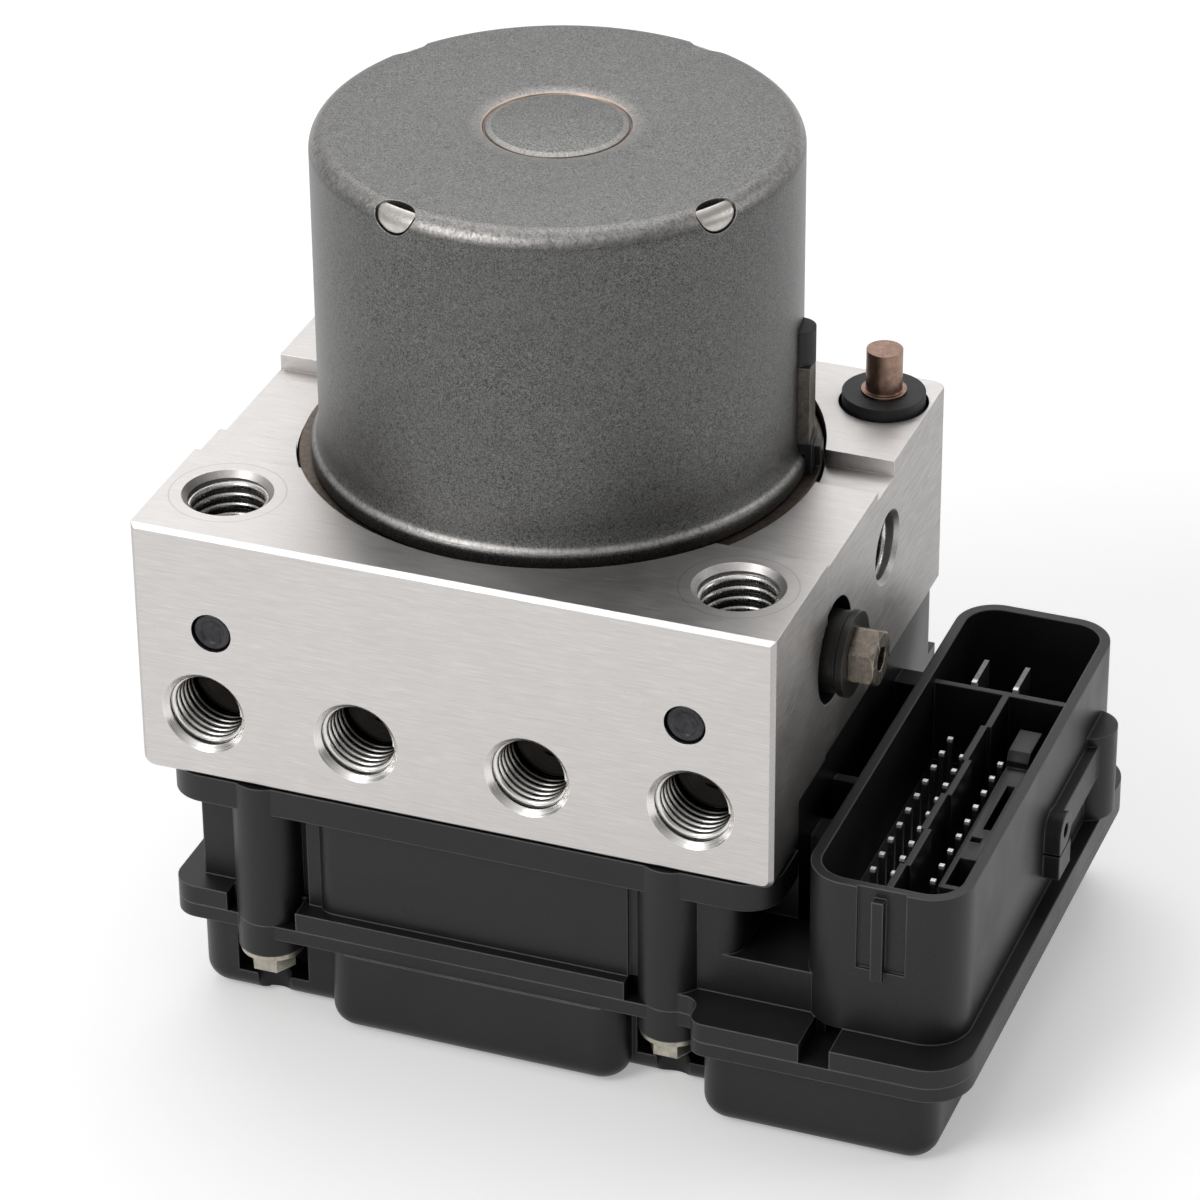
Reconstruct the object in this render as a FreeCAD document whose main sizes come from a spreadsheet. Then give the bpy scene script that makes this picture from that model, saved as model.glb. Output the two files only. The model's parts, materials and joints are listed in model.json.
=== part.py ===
import FreeCAD, Part
import math
import os
import re

import Sketcher

# Anti-lock brake module: valve block, pump motor and control unit
# Lengths are millimetres. The origin is on the motor axis at the level of the cover's underside,
# +Z runs up the motor axis, -Y is the face with the four wheel ports, +X is the connector's side.

SIZES = {
    # Valve block
    "block_width": 100,
    "block_front": 46.5,
    "block_back": 35,
    "block_bottom": 41,
    "block_height": 42,
    "step_front": 35,
    "block_step": 8.6,
    "block_corner": 2.5,
    "block_bevel": 0.7,
    "block_toe": 1.7,
    "side_relief": 0.3,
    "front_land": 23.7,
    "mid_land_drop": 1.2,
    "channel_drop": 1.4,
    "channel_left": 14,
    "channel_right": 1.2,
    "rear_land_front": 9,
    # Threaded ports
    "top_port_side": 10,
    "top_port_inset": 13.2,
    "top_port_radius": 6,
    "top_port_depth": 13,
    "top_port_mouth": 6.9,
    "front_port_radius": 5,
    "front_port_depth": 10,
    "front_port_mouth": 6.7,
    "front_port_height": 11.3,
    "front_port_left": 10.5,
    "front_port_two": -15,
    "front_port_three": 12.1,
    "front_port_right": 12.6,
    "side_hole_y": 6.5,
    "side_hole_height": 28.6,
    "side_hole_radius": 5.2,
    "side_hole_mouth": 6.2,
    "side_hole_depth": 11,
    # Closing plugs of the front face
    "plug_height": 25.6,
    "plug_left_side": 12.4,
    "plug_right_side": 13.5,
    "plug_radius": 3.2,
    "plug_depth": 6,
    "plug_sunk": 0.3,
    "plug_dish": 0.6,
    "plug_dish_radius": 5,
    # Rubber bush and bolt of the side face
    "bush_y": -18.7,
    "bush_height": 25,
    "bush_hole_radius": 8.2,
    "bush_hole_depth": 6,
    "bush_radius": 6.9,
    "bush_proud": 4.3,
    "bush_ring_radius": 7.3,
    "bush_ring_width": 2.8,
    "bush_neck": 0.5,
    "bolt_radius": 3,
    "bolt_reach": 5.4,
    "bolt_head_width": 10,
    "bolt_head_height": 6,
    "bolt_socket": 2.3,
    "bolt_socket_depth": 4,
    # Grommet and pin on the rear land
    "pin_side": 7.6,
    "pin_rear": 8.7,
    "pin_radius": 2.8,
    "pin_height": 9,
    "pin_sunk": 12,
    "pin_collar_radius": 3.5,
    "pin_collar_height": 0.5,
    "grommet_radius": 6.4,
    "grommet_height": 4.8,
    "grommet_seat_radius": 6.9,
    "grommet_seat_depth": 3,
    # Motor casing
    "recess_margin": 3.6,
    "recess_depth": 5,
    "flange_plate_clear": 0.4,
    "flange_plate_height": 3.3,
    "can_radius": 36.3,
    "can_wall": 1.8,
    "can_height": 53.4,
    "can_round": 3,
    "can_bead": 1.3,
    "can_bead_height": 2,
    "disc_radius": 11,
    "disc_groove": 0.7,
    "disc_groove_depth": 0.35,
    "window_turn": -69.5,
    "window_spread": 40,
    "window_width": 7.4,
    "window_drop": 3.9,
    "window_inset": 3.1,
    "window_gap": 0.2,
    # Side strip of the motor casing
    "strip_turn": 10,
    "strip_width": 5.4,
    "strip_thickness": 2.2,
    "strip_plate": 1.8,
    "strip_cap_height": 5.7,
    "strip_height": 12.6,
    "clip_height": 5.1,
    "clip_lug": 1.1,
    "clip_lug_width": 2.7,
    "clip_lug_height": 3.3,
    "clip_lug_lift": 0.8,
    # Motor works
    "shaft_radius": 4,
    "shaft_top_gap": 1.4,
    "shaft_end_gap": 1,
    "bearing_gap": 0.04,
    "upper_bush_height": 4,
    "bush_wall": 3,
    "shield_height": 1.9,
    "magnet_wall": 7.5,
    "commutator_gap": 0.7,
    "winding_gap": 2.8,
    "core_slots": 8,
    "slot_width": 4,
    "slot_depth": 9,
    "winding_inset": 4,
    "winding_height": 4,
    "air_gap": 1,
    "magnet_overhang": 2,
    "magnet_slot": 26,
    "commutator_radius": 9,
    "commutator_height": 6,
    "brush_plate_height": 2,
    "brush_width": 5,
    "brush_height": 4,
    "brush_length": 9,
    "brush_gap": 0.3,
    # Eccentric drive and pump
    "chamber_radius": 11,
    "chamber_height": 15,
    "collar_depth": 6,
    "pump_height": 21,
    "eccentric_throw": 1.2,
    "eccentric_radius": 6.5,
    "eccentric_height": 8,
    "ring_radius": 9,
    "pump_bore_radius": 4.5,
    "piston_radius": 3.4,
    "piston_length": 13,
    "piston_gap": 0.3,
    "sleeve_start": 14,
    "pump_spring_wire": 0.6,
    "pump_spring_turns": 3,
    "pump_cap_length": 14,
    # Pressure accumulators of the rear face
    "store_x": 24,
    "store_height": 21.5,
    "store_radius": 9,
    "store_depth": 22,
    "store_piston_length": 8,
    "store_gap": 0.04,
    "store_wall": 3,
    "store_cap_length": 4,
    "store_wire": 0.9,
    "store_turns": 3,
    # Solenoid valves
    "valve_x_inner": 12,
    "valve_side": 16,
    "inlet_y": -26,
    "outlet_y": -13,
    "valve_radius": 4,
    "valve_depth": 12,
    "dome_radius": 3.2,
    "dome_length": 18.6,
    "dome_bore": 2.2,
    "plunger_length": 12,
    "plunger_travel": 0.4,
    "plunger_gap": 0.05,
    "coil_radius": 6.2,
    "coil_height": 12,
    "coil_gap": 0.1,
    # Control unit: levels
    "cover_floor": 2,
    "cover_wall": 2,
    "lower_flange_bottom": 14,
    "lower_flange_height": 2.4,
    "upper_flange_height": 3.2,
    "plate_height": 4.6,
    "deck_height": 2.5,
    "deck_gap": 0.2,
    "deck_set_back": 1,
    # Control unit: plan of the flange
    "unit_left_inset": 2.5,
    "unit_overhang": 31,
    "unit_rear_lip": 3,
    "flange_left_inset": 1.5,
    "flange_middle_proud": 0.1,
    "flange_right_proud": 6.2,
    "flange_step_gap": 6,
    "flange_blend": 2.4,
    "notch_gap": 2.3,
    "notch_width": 4.7,
    "flange_corner": 7,
    "flange_small_corner": 4,
    # Control unit: plan of the upper shell
    "plate_inset": 3.1,
    "plate_front_inset": 0.1,
    "plate_corner": 6,
    "shell_left_inset": 6.7,
    "shell_right_inset": 1,
    "shell_front_inset": 5.5,
    "shell_wall": 1.8,
    "shell_corner": 3,
    "panel_left_gap": 8.6,
    "panel_right_gap": 6,
    "panel_inset": 1.7,
    "panel_step": 1.5,
    "panel_step_inset": 1.2,
    "ledge_side": 6,
    "ledge_inset": 2.3,
    "ledge_height": 7,
    "pocket_depth": 15,
    # Screw towers
    "tower_left_side": 18,
    "tower_right_side": 17,
    "tower_front_inset": 4.5,
    "tower_rear_side": 15,
    "tower_rear_inset": 6.5,
    "tower_radius": 5.2,
    "tower_clear": 0.8,
    "ear_bottom": 10.8,
    "ear_radius": 5.2,
    "ear_clear": 0.5,
    "well_clear": 1,
    "front_well_bottom": 4,
    "screw_radius": 2.5,
    "screw_clear": 0.1,
    "screw_bite": 5,
    "washer_radius": 4.9,
    "washer_height": 1,
    "screw_head_width": 6.4,
    "screw_head_height": 3,
    # Cover bulges
    "bulge_side_inset": 3,
    "bulge_left_inset": 4,
    "bulge_left_gap": 0.5,
    "bulge_middle_gap": 10.5,
    "bulge_tower_gap": 6.5,
    "bulge_middle_proud": 0.4,
    "bulge_gap_inset": 4.6,
    "bulge_right_proud": 3.3,
    "bulge_right_inset": 5,
    "bulge_back_inset": 1,
    "bulge_corner": 4.5,
    "bulge_edge": 3.4,
    # Connector shroud
    "shroud_gap": 4,
    "shroud_side_inset": 2.4,
    "shroud_front_proud": 0.1,
    "shroud_back_inset": 2.1,
    "shroud_top": 45,
    "shroud_corner": 6.5,
    "shroud_wall": 1.6,
    "shroud_floor": 27,
    "shroud_floor_height": 2,
    "cross_wall_y": 14,
    "inner_wall": 1,
    "inner_wall_top": 43,
    "divider_offset": 12.4,
    "divider_jog": 0.6,
    "divider_steps": 6,
    "panel_offset": 8.9,
    "panel_width": 7.4,
    "panel_bottom": 31,
    "panel_depth": 0.5,
    "rib_offset": 3.3,
    "rib_width": 1.8,
    "rib_depth": 1.4,
    "rib_bottom": 29.7,
    "rib_top": 43.4,
    # Terminals
    "terminal_width": 0.8,
    "terminal_pitch": 4.2,
    "terminal_top": 38,
    "terminal_inset": 15.4,
    "row_one_offset": 6.4,
    "row_two_offset": 9.6,
    "row_three_offset": 9,
    "blade_width": 7,
    "blade_top": 42,
    "blade_one_offset": 6.8,
    "blade_two_offset": 13.4,
    "blade_inset": 6.5,
    "guard_offset": 6.4,
    "guard_width": 2.2,
    "guard_front_inset": 8.6,
    "guard_back_inset": 10,
    "guard_top": 38.6,
    "guard_windows": 4,
    "guard_post": 1.5,
    "guard_sill": 32.6,
    "guard_bar": 1.2,
    # Lugs of the connector side
    "lug_y": -1,
    "lug_level": 30.6,
    "lug_radius": 2.9,
    "lug_hole": 1.2,
    "lug_length": 2.6,
    "lug_web": 0.6,
    "block_lug_size": 4,
    "block_lug_drop": 0.4,
    "ear_lug_inset": 0.8,
    "ear_lug_rear": 12.9,
    "ear_lug_radius": 4.4,
    "ear_lug_height": 15,
    "rail_width": 1.8,
    "rail_height": 5.5,
    # Webs between the shell and the connector shroud
    "web_front": -26,
    "web_length": 5,
    "web_top": 38,
    "strut_front": -15.5,
    "strut_length": 1.6,
    "strut_top": 41.5,
    "tab_front": 14,
    "tab_length": 4,
    # Circuit board
    "board_bottom": 9,
    "board_height": 1.6,
    "board_gap": 1.3,
    "post_radius": 2.5,
    # Seal between block and unit
    "seal_width": 1.6,
    "seal_height": 0.8,
    "seal_inset": 1.2,
    # Tools reach this far beyond what they cut
    "over_cut": 1,
}

# Places and sizes that follow from others, as formulas of the sheet
LAYOUT = {
    # Valve block: ports, fittings and bores
    "top_port_x": "block_width / 2 - top_port_side",
    "top_port_y": "block_front - top_port_inset",
    "front_port_level": "block_bottom + front_port_height",
    "front_port_one": "front_port_left - block_width / 2",
    "front_port_four": "block_width / 2 - front_port_right",
    "side_hole_level": "block_bottom + side_hole_height",
    "plug_level": "block_bottom + plug_height",
    "plug_left": "plug_left_side - block_width / 2",
    "plug_right": "block_width / 2 - plug_right_side",
    "bush_level": "block_bottom + bush_height",
    "pin_x": "block_width / 2 - pin_side",
    "pin_y": "block_back - pin_rear",
    "pump_level": "block_bottom + pump_height",
    "chamber_floor": "block_bottom + chamber_height",
    "sleeve_length": "block_width / 2 - pump_cap_length - sleeve_start",
    "pump_bore_end": "sleeve_start + sleeve_length",
    "store_level": "block_bottom + store_height",
    "valve_x_outer": "block_width / 2 - valve_side",
    "dome_bottom": "block_bottom + block_step - dome_length",
    # Motor
    "recess_radius": "can_radius + recess_margin",
    "flange_plate_radius": "recess_radius - flange_plate_clear",
    "can_bottom": "block_bottom + block_height - recess_depth + flange_plate_height",
    "can_top": "can_bottom + can_height",
    "shaft_top": "can_top - can_wall - shaft_top_gap",
    "core_radius": "can_radius - can_wall - magnet_wall - air_gap",
    "winding_radius": "core_radius - winding_inset",
    "core_bottom": "can_bottom + brush_plate_height + commutator_gap + commutator_height + winding_height",
    "core_top": "can_top - can_wall - window_gap / 2 - upper_bush_height - winding_gap - winding_height",
    "core_height": "core_top - core_bottom",
    "magnet_height": "core_height + 2 * magnet_overhang",
    # Control unit: screw towers and flange
    "tower_left": "tower_left_side - block_width / 2",
    "tower_right": "block_width / 2 - tower_right_side",
    "tower_front": "tower_front_inset - block_front",
    "tower_side": "block_width / 2 - tower_rear_side",
    "tower_back": "block_back - tower_rear_inset",
    "unit_left": "block_width / 2 - unit_left_inset",
    "unit_right": "block_width / 2 + unit_overhang",
    "unit_back": "block_back + unit_rear_lip",
    "flange_front_left": "block_front - flange_left_inset",
    "flange_front_middle": "block_front + flange_middle_proud",
    "flange_front_right": "block_front + flange_right_proud",
    "flange_step": "tower_right + flange_step_gap",
    # Control unit: upper shell
    "plate_left": "block_width / 2 - plate_inset",
    "plate_front": "block_front - plate_front_inset",
    "shell_left": "block_width / 2 - shell_left_inset",
    "shell_right": "block_width / 2 - shell_right_inset",
    "shell_front": "block_front - shell_front_inset",
    "shell_back": "block_back",
    "panel_left": "-tower_left - panel_left_gap",
    "panel_right": "tower_right - panel_right_gap",
    "panel_front": "block_front - panel_inset",
    "ledge_left": "block_width / 2 - ledge_side",
    "ledge_front": "block_front - ledge_inset",
    "pocket_back": "block_front - pocket_depth",
    # Control unit: connector
    "shroud_left": "block_width / 2 + shroud_gap",
    "shroud_right": "unit_right - shroud_side_inset",
    "shroud_front": "block_front + shroud_front_proud",
    "shroud_back": "unit_back - shroud_back_inset",
    "notch_start": "shroud_left + notch_gap",
    "notch_end": "notch_start + notch_width",
    "divider_x": "shroud_left + divider_offset",
    "panel_start": "shroud_left + panel_offset",
    "panel_end": "panel_start + panel_width",
    "rib_x": "panel_start + rib_offset",
    "terminal_front": "terminal_inset - shroud_front",
    "row_one_x": "shroud_left + row_one_offset",
    "row_two_x": "shroud_left + row_two_offset",
    "row_three_x": "shroud_right - row_three_offset",
    "blade_one_x": "shroud_left + blade_one_offset",
    "blade_two_x": "shroud_left + blade_two_offset",
    "blade_y": "cross_wall_y + blade_inset",
    "guard_x": "shroud_right - guard_offset",
    "guard_front": "guard_front_inset - shroud_front",
    "guard_back": "cross_wall_y - guard_back_inset",
    "ear_lug_x": "shroud_right - ear_lug_inset",
    "ear_lug_y": "shroud_back - ear_lug_rear",
    # Control unit: cover and board
    "bulge_left_side": "unit_left - bulge_side_inset",
    "bulge_left_front": "block_front - bulge_left_inset",
    "bulge_left_end": "-tower_left - bulge_left_gap",
    "bulge_middle_left": "-tower_left - bulge_middle_gap",
    "bulge_middle_right": "tower_right - bulge_tower_gap",
    "bulge_middle_front": "block_front + bulge_middle_proud",
    "bulge_gap_front": "block_front - bulge_gap_inset",
    "bulge_right_start": "tower_right + bulge_tower_gap",
    "bulge_right_front": "block_front + bulge_right_proud",
    "bulge_right_side": "unit_right - bulge_right_inset",
    "bulge_back": "unit_back - bulge_back_inset",
    "board_left": "bulge_left_side - cover_wall - board_gap",
    "board_right": "bulge_right_side - cover_wall - board_gap",
    "room_front": "-tower_front - ear_radius - ear_clear - cover_wall",
    "board_front": "room_front - board_gap",
    "board_back": "tower_back - ear_radius - well_clear - cover_wall - board_gap",
}

# How near a drawn edge has to lie to the place where it is looked for
NEAR = 0.01
TINY = 0.001

document = FreeCAD.newDocument("brake_module")
sheet = document.addObject("Spreadsheet::Sheet", "sizes")
ENTRIES = [(alias, str(value)) for alias, value in SIZES.items()]
ENTRIES += [(alias, "=" + text) for alias, text in LAYOUT.items()]
for row, (alias, content) in enumerate(ENTRIES, 1):
    sheet.set("A%d" % row, alias)
    sheet.setAlias("B%d" % row, alias)
for row, (alias, content) in enumerate(ENTRIES, 1):
    sheet.set("B%d" % row, content)
document.recompute()
ALIASES = dict(ENTRIES)

UP = FreeCAD.Vector(0, 0, 1)
TURNS = {
    "Z": FreeCAD.Rotation(),
    "X": FreeCAD.Rotation(FreeCAD.Vector(0, 1, 0), 90),
    "-X": FreeCAD.Rotation(FreeCAD.Vector(0, 1, 0), -90),
    "Y": FreeCAD.Rotation(FreeCAD.Vector(1, 0, 0), -90),
    "-Y": FreeCAD.Rotation(FreeCAD.Vector(1, 0, 0), 90),
}
NODES = []

# Levels that several pieces share, written once as expressions on the sheet
BLOCK_TOP = "block_bottom + block_height"
UNDERSIDE = "block_bottom + block_step"
RECESS_FLOOR = BLOCK_TOP + " - recess_depth"
FLANGE_MID = "lower_flange_bottom + lower_flange_height"
FLANGE_TOP = FLANGE_MID + " + upper_flange_height"
PLATE_BOTTOM = "block_bottom - plate_height"
DECK_FRONT = "deck_gap - step_front"

# Places that several pieces share
VALVE_X = ["-valve_x_outer", "-valve_x_inner", "valve_x_inner", "valve_x_outer"]
INLETS = [(x, "inlet_y") for x in VALVE_X]
OUTLETS = [(x, "outlet_y") for x in VALVE_X]
FRONT_TOWERS = [("tower_left", "tower_front"), ("tower_right", "tower_front")]
REAR_TOWERS = [("-tower_side", "tower_back"), ("tower_side", "tower_back")]
WINDOWS = ["window_turn - window_spread", "window_turn + window_spread",
           "window_turn + 180 - window_spread", "window_turn + 180 + window_spread"]
FLANGE_OUTLINE = [
    ("-unit_left", "-flange_front_left"), ("tower_left", "-flange_front_left"),
    ("tower_left", "-flange_front_middle"), ("flange_step", "-flange_front_middle"),
    ("flange_step", "-flange_front_right"), ("unit_right", "-flange_front_right"),
    ("unit_right", "unit_back"), ("-unit_left", "unit_back"),
]


def formula(text):
    """Return the expression with each alias of the sheet written as the document reads it."""
    return re.sub(r"[a-z_]+", lambda word: "sizes." + word[0] if word[0] in ALIASES else word[0], text)


def number(text):
    """Return the value that an expression has now."""
    return float(sheet.evalExpression(formula(str(text))))


def bind(feature, **properties):
    """Bind properties of a feature to expressions on the sheet."""
    for name, text in properties.items():
        feature.setExpression(name, formula(text))
    return feature


def place(feature, x="0", y="0", z="0", turn="Z"):
    """Turn a feature along an axis and bind its position."""
    feature.Placement = FreeCAD.Placement(FreeCAD.Vector(), TURNS[turn])
    for axis, text in zip("xyz", (x, y, z)):
        feature.setExpression("Placement.Base." + axis, formula(text))
    return feature


def cylinder(name, radius, height, x="0", y="0", z="0", turn="Z"):
    rod = document.addObject("Part::Cylinder", name)
    return place(bind(rod, Radius=radius, Height=height), x, y, z, turn)


def box(name, x, y, z):
    """Return a box from three pairs of expressions, low and high along each axis."""
    brick = document.addObject("Part::Box", name)
    bind(brick, Length="(%s) - (%s)" % (x[1], x[0]), Width="(%s) - (%s)" % (y[1], y[0]))
    bind(brick, Height="(%s) - (%s)" % (z[1], z[0]))
    return place(brick, x[0], y[0], z[0])


def prism(name, sides, across_flats, height, x="0", y="0", z="0", turn="Z"):
    """Return a regular prism, such as a bolt head, by its width across flats."""
    bar = document.addObject("Part::Prism", name)
    bar.Polygon = sides
    bind(bar, Circumradius="%s / 2 / cos(180 deg / %d)" % (across_flats, sides), Height=height)
    return place(bar, x, y, z, turn)


def fuse(name, *pieces):
    joined = document.addObject("Part::MultiFuse", name)
    joined.Shapes = list(pieces)
    return joined


def cut(name, base, *tools):
    tool = tools[0] if len(tools) == 1 else fuse(name + "_tools", *tools)
    result = document.addObject("Part::Cut", name)
    result.Base = base
    result.Tool = tool
    return result


def common(name, *pieces):
    shared = document.addObject("Part::MultiCommon", name)
    shared.Shapes = list(pieces)
    return shared


def group(name, pieces):
    """Return like pieces as one object of separate solids."""
    heap = document.addObject("Part::Compound", name)
    heap.Links = list(pieces)
    return heap


def tube(name, outer, inner, height, x="0", y="0", z="0", turn="Z"):
    wall = cylinder(name + "_outer", outer, height, x, y, z, turn)
    bore = cylinder(name + "_bore", inner, height, x, y, z, turn)
    return cut(name, wall, bore)


def turned(feature, angle, name):
    """Return a copy of a feature's shape turned about the motor axis by an expression in degrees."""
    link = document.addObject("Part::Compound", name)
    link.Links = [feature]
    link.Placement = FreeCAD.Placement(FreeCAD.Vector(), FreeCAD.Rotation(UP, 0))
    link.setExpression("Placement.Rotation.Angle", formula(angle))
    return link


def node(feature, label):
    """Name a finished sub-part."""
    feature.Label = label
    NODES.append(feature)
    return feature


def new_body(name):
    return document.addObject("PartDesign::Body", name)


def new_sketch(body, name, plane="XY_Plane", offset="0"):
    """Return an empty sketch on one of the body's origin planes, moved along its normal."""
    sketch = body.newObject("Sketcher::SketchObject", name)
    role = [item for item in body.Origin.OriginFeatures if item.Role == plane]
    sketch.AttachmentSupport = [(role[0], "")]
    sketch.MapMode = "FlatFace"
    sketch.setExpression(".AttachmentOffset.Base.z", formula(offset))
    return sketch


def pin_point(sketch, geometry, point, x, y):
    """Fix a point of a sketch by its two distances from the origin."""
    for kind, text in (("DistanceX", x), ("DistanceY", y)):
        rule = Sketcher.Constraint(kind, -1, 1, geometry, point, number(text))
        sketch.setExpression("Constraints[%d]" % sketch.addConstraint(rule), formula(text))


def polygon(sketch, corners):
    """Draw a closed outline through corners that are given as pairs of expressions."""
    points = [FreeCAD.Vector(number(x), number(y), 0) for x, y in corners]
    first = sketch.GeometryCount
    for start, end in zip(points, points[1:] + points[:1]):
        sketch.addGeometry(Part.LineSegment(start, end), False)
    count = len(corners)
    for index in range(count):
        following = first + (index + 1) % count
        sketch.addConstraint(Sketcher.Constraint("Coincident", first + index, 2, following, 1))
    for index, (x, y) in enumerate(corners):
        pin_point(sketch, first + index, 1, x, y)


def circles(sketch, radius, centres):
    """Draw one circle at each centre, all with the same bound radius."""
    for x, y in centres:
        centre = FreeCAD.Vector(number(x), number(y), 0)
        index = sketch.addGeometry(Part.Circle(centre, UP, number(radius)), False)
        pin_point(sketch, index, 3, x, y)
        rule = Sketcher.Constraint("Radius", index, number(radius))
        sketch.setExpression("Constraints[%d]" % sketch.addConstraint(rule), formula(radius))


def pad(body, name, sketch, length, reverse=False, centred=False):
    feature = body.newObject("PartDesign::Pad", name)
    feature.Profile = sketch
    feature.Reversed = reverse
    feature.Midplane = centred
    bind(feature, Length=length)
    document.recompute()
    return feature


def pocket(body, name, sketch, length, reverse=False):
    feature = body.newObject("PartDesign::Pocket", name)
    feature.Profile = sketch
    feature.Reversed = reverse
    bind(feature, Length=length)
    before = body.Shape.Volume
    document.recompute()
    if body.Shape.Volume >= before:
        raise ValueError(name + " removes nothing")
    return feature


def revolve(body, name, sketch):
    """Turn a sketch of the XZ plane once round the vertical axis."""
    feature = body.newObject("PartDesign::Revolution", name)
    feature.Profile = sketch
    feature.ReferenceAxis = (sketch, ["V_Axis"])
    feature.Angle = 360
    document.recompute()
    return feature


def hole(body, name, sketch, radius, depth, mouth):
    """Drill a blind threaded hole with a bevelled mouth at each circle of a sketch."""
    document.recompute()
    feature = body.newObject("PartDesign::Hole", name)
    feature.Profile = sketch
    feature.DepthType = "Dimension"
    feature.DrillPoint = "Angled"
    feature.HoleCutType = "Countersink"
    feature.HoleCutCountersinkAngle = 90
    bind(feature, Diameter="2 * %s" % radius, Depth=depth, HoleCutDiameter="2 * %s" % mouth)
    before = body.Shape.Volume
    document.recompute()
    if body.Shape.Volume >= before:
        raise ValueError(name + " removes nothing")
    return feature


def upright_edges(feature, corners):
    """Return the names of the vertical edges that stand at the given corners of the plan."""
    places = [(number(x), number(y)) for x, y in corners]
    names = []
    for index, edge in enumerate(feature.Shape.Edges, 1):
        low, high = edge.Vertexes[0].Point, edge.Vertexes[-1].Point
        if math.hypot(low.x - high.x, low.y - high.y) > TINY or abs(low.z - high.z) < TINY:
            continue
        if any(math.hypot(low.x - x, low.y - y) < NEAR for x, y in places):
            names.append("Edge%d" % index)
    return names


def level_edges(feature, level, inside=None):
    """Return the names of the edges that lie at one level, all or those whose middle passes a test."""
    height = number(level)
    names = []
    for index, edge in enumerate(feature.Shape.Edges, 1):
        bounds = edge.BoundBox
        if abs(bounds.ZMin - height) < TINY and abs(bounds.ZMax - height) < TINY:
            if inside is None or inside(bounds.Center):
                names.append("Edge%d" % index)
    return names


def dress(body, kind, name, feature, edges, size):
    """Round or bevel edges of a feature by a bound size."""
    finish = body.newObject("PartDesign::" + kind, name)
    finish.Base = (feature, edges)
    bind(finish, **{"Radius" if kind == "Fillet" else "Size": size})
    document.recompute()
    return finish


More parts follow.
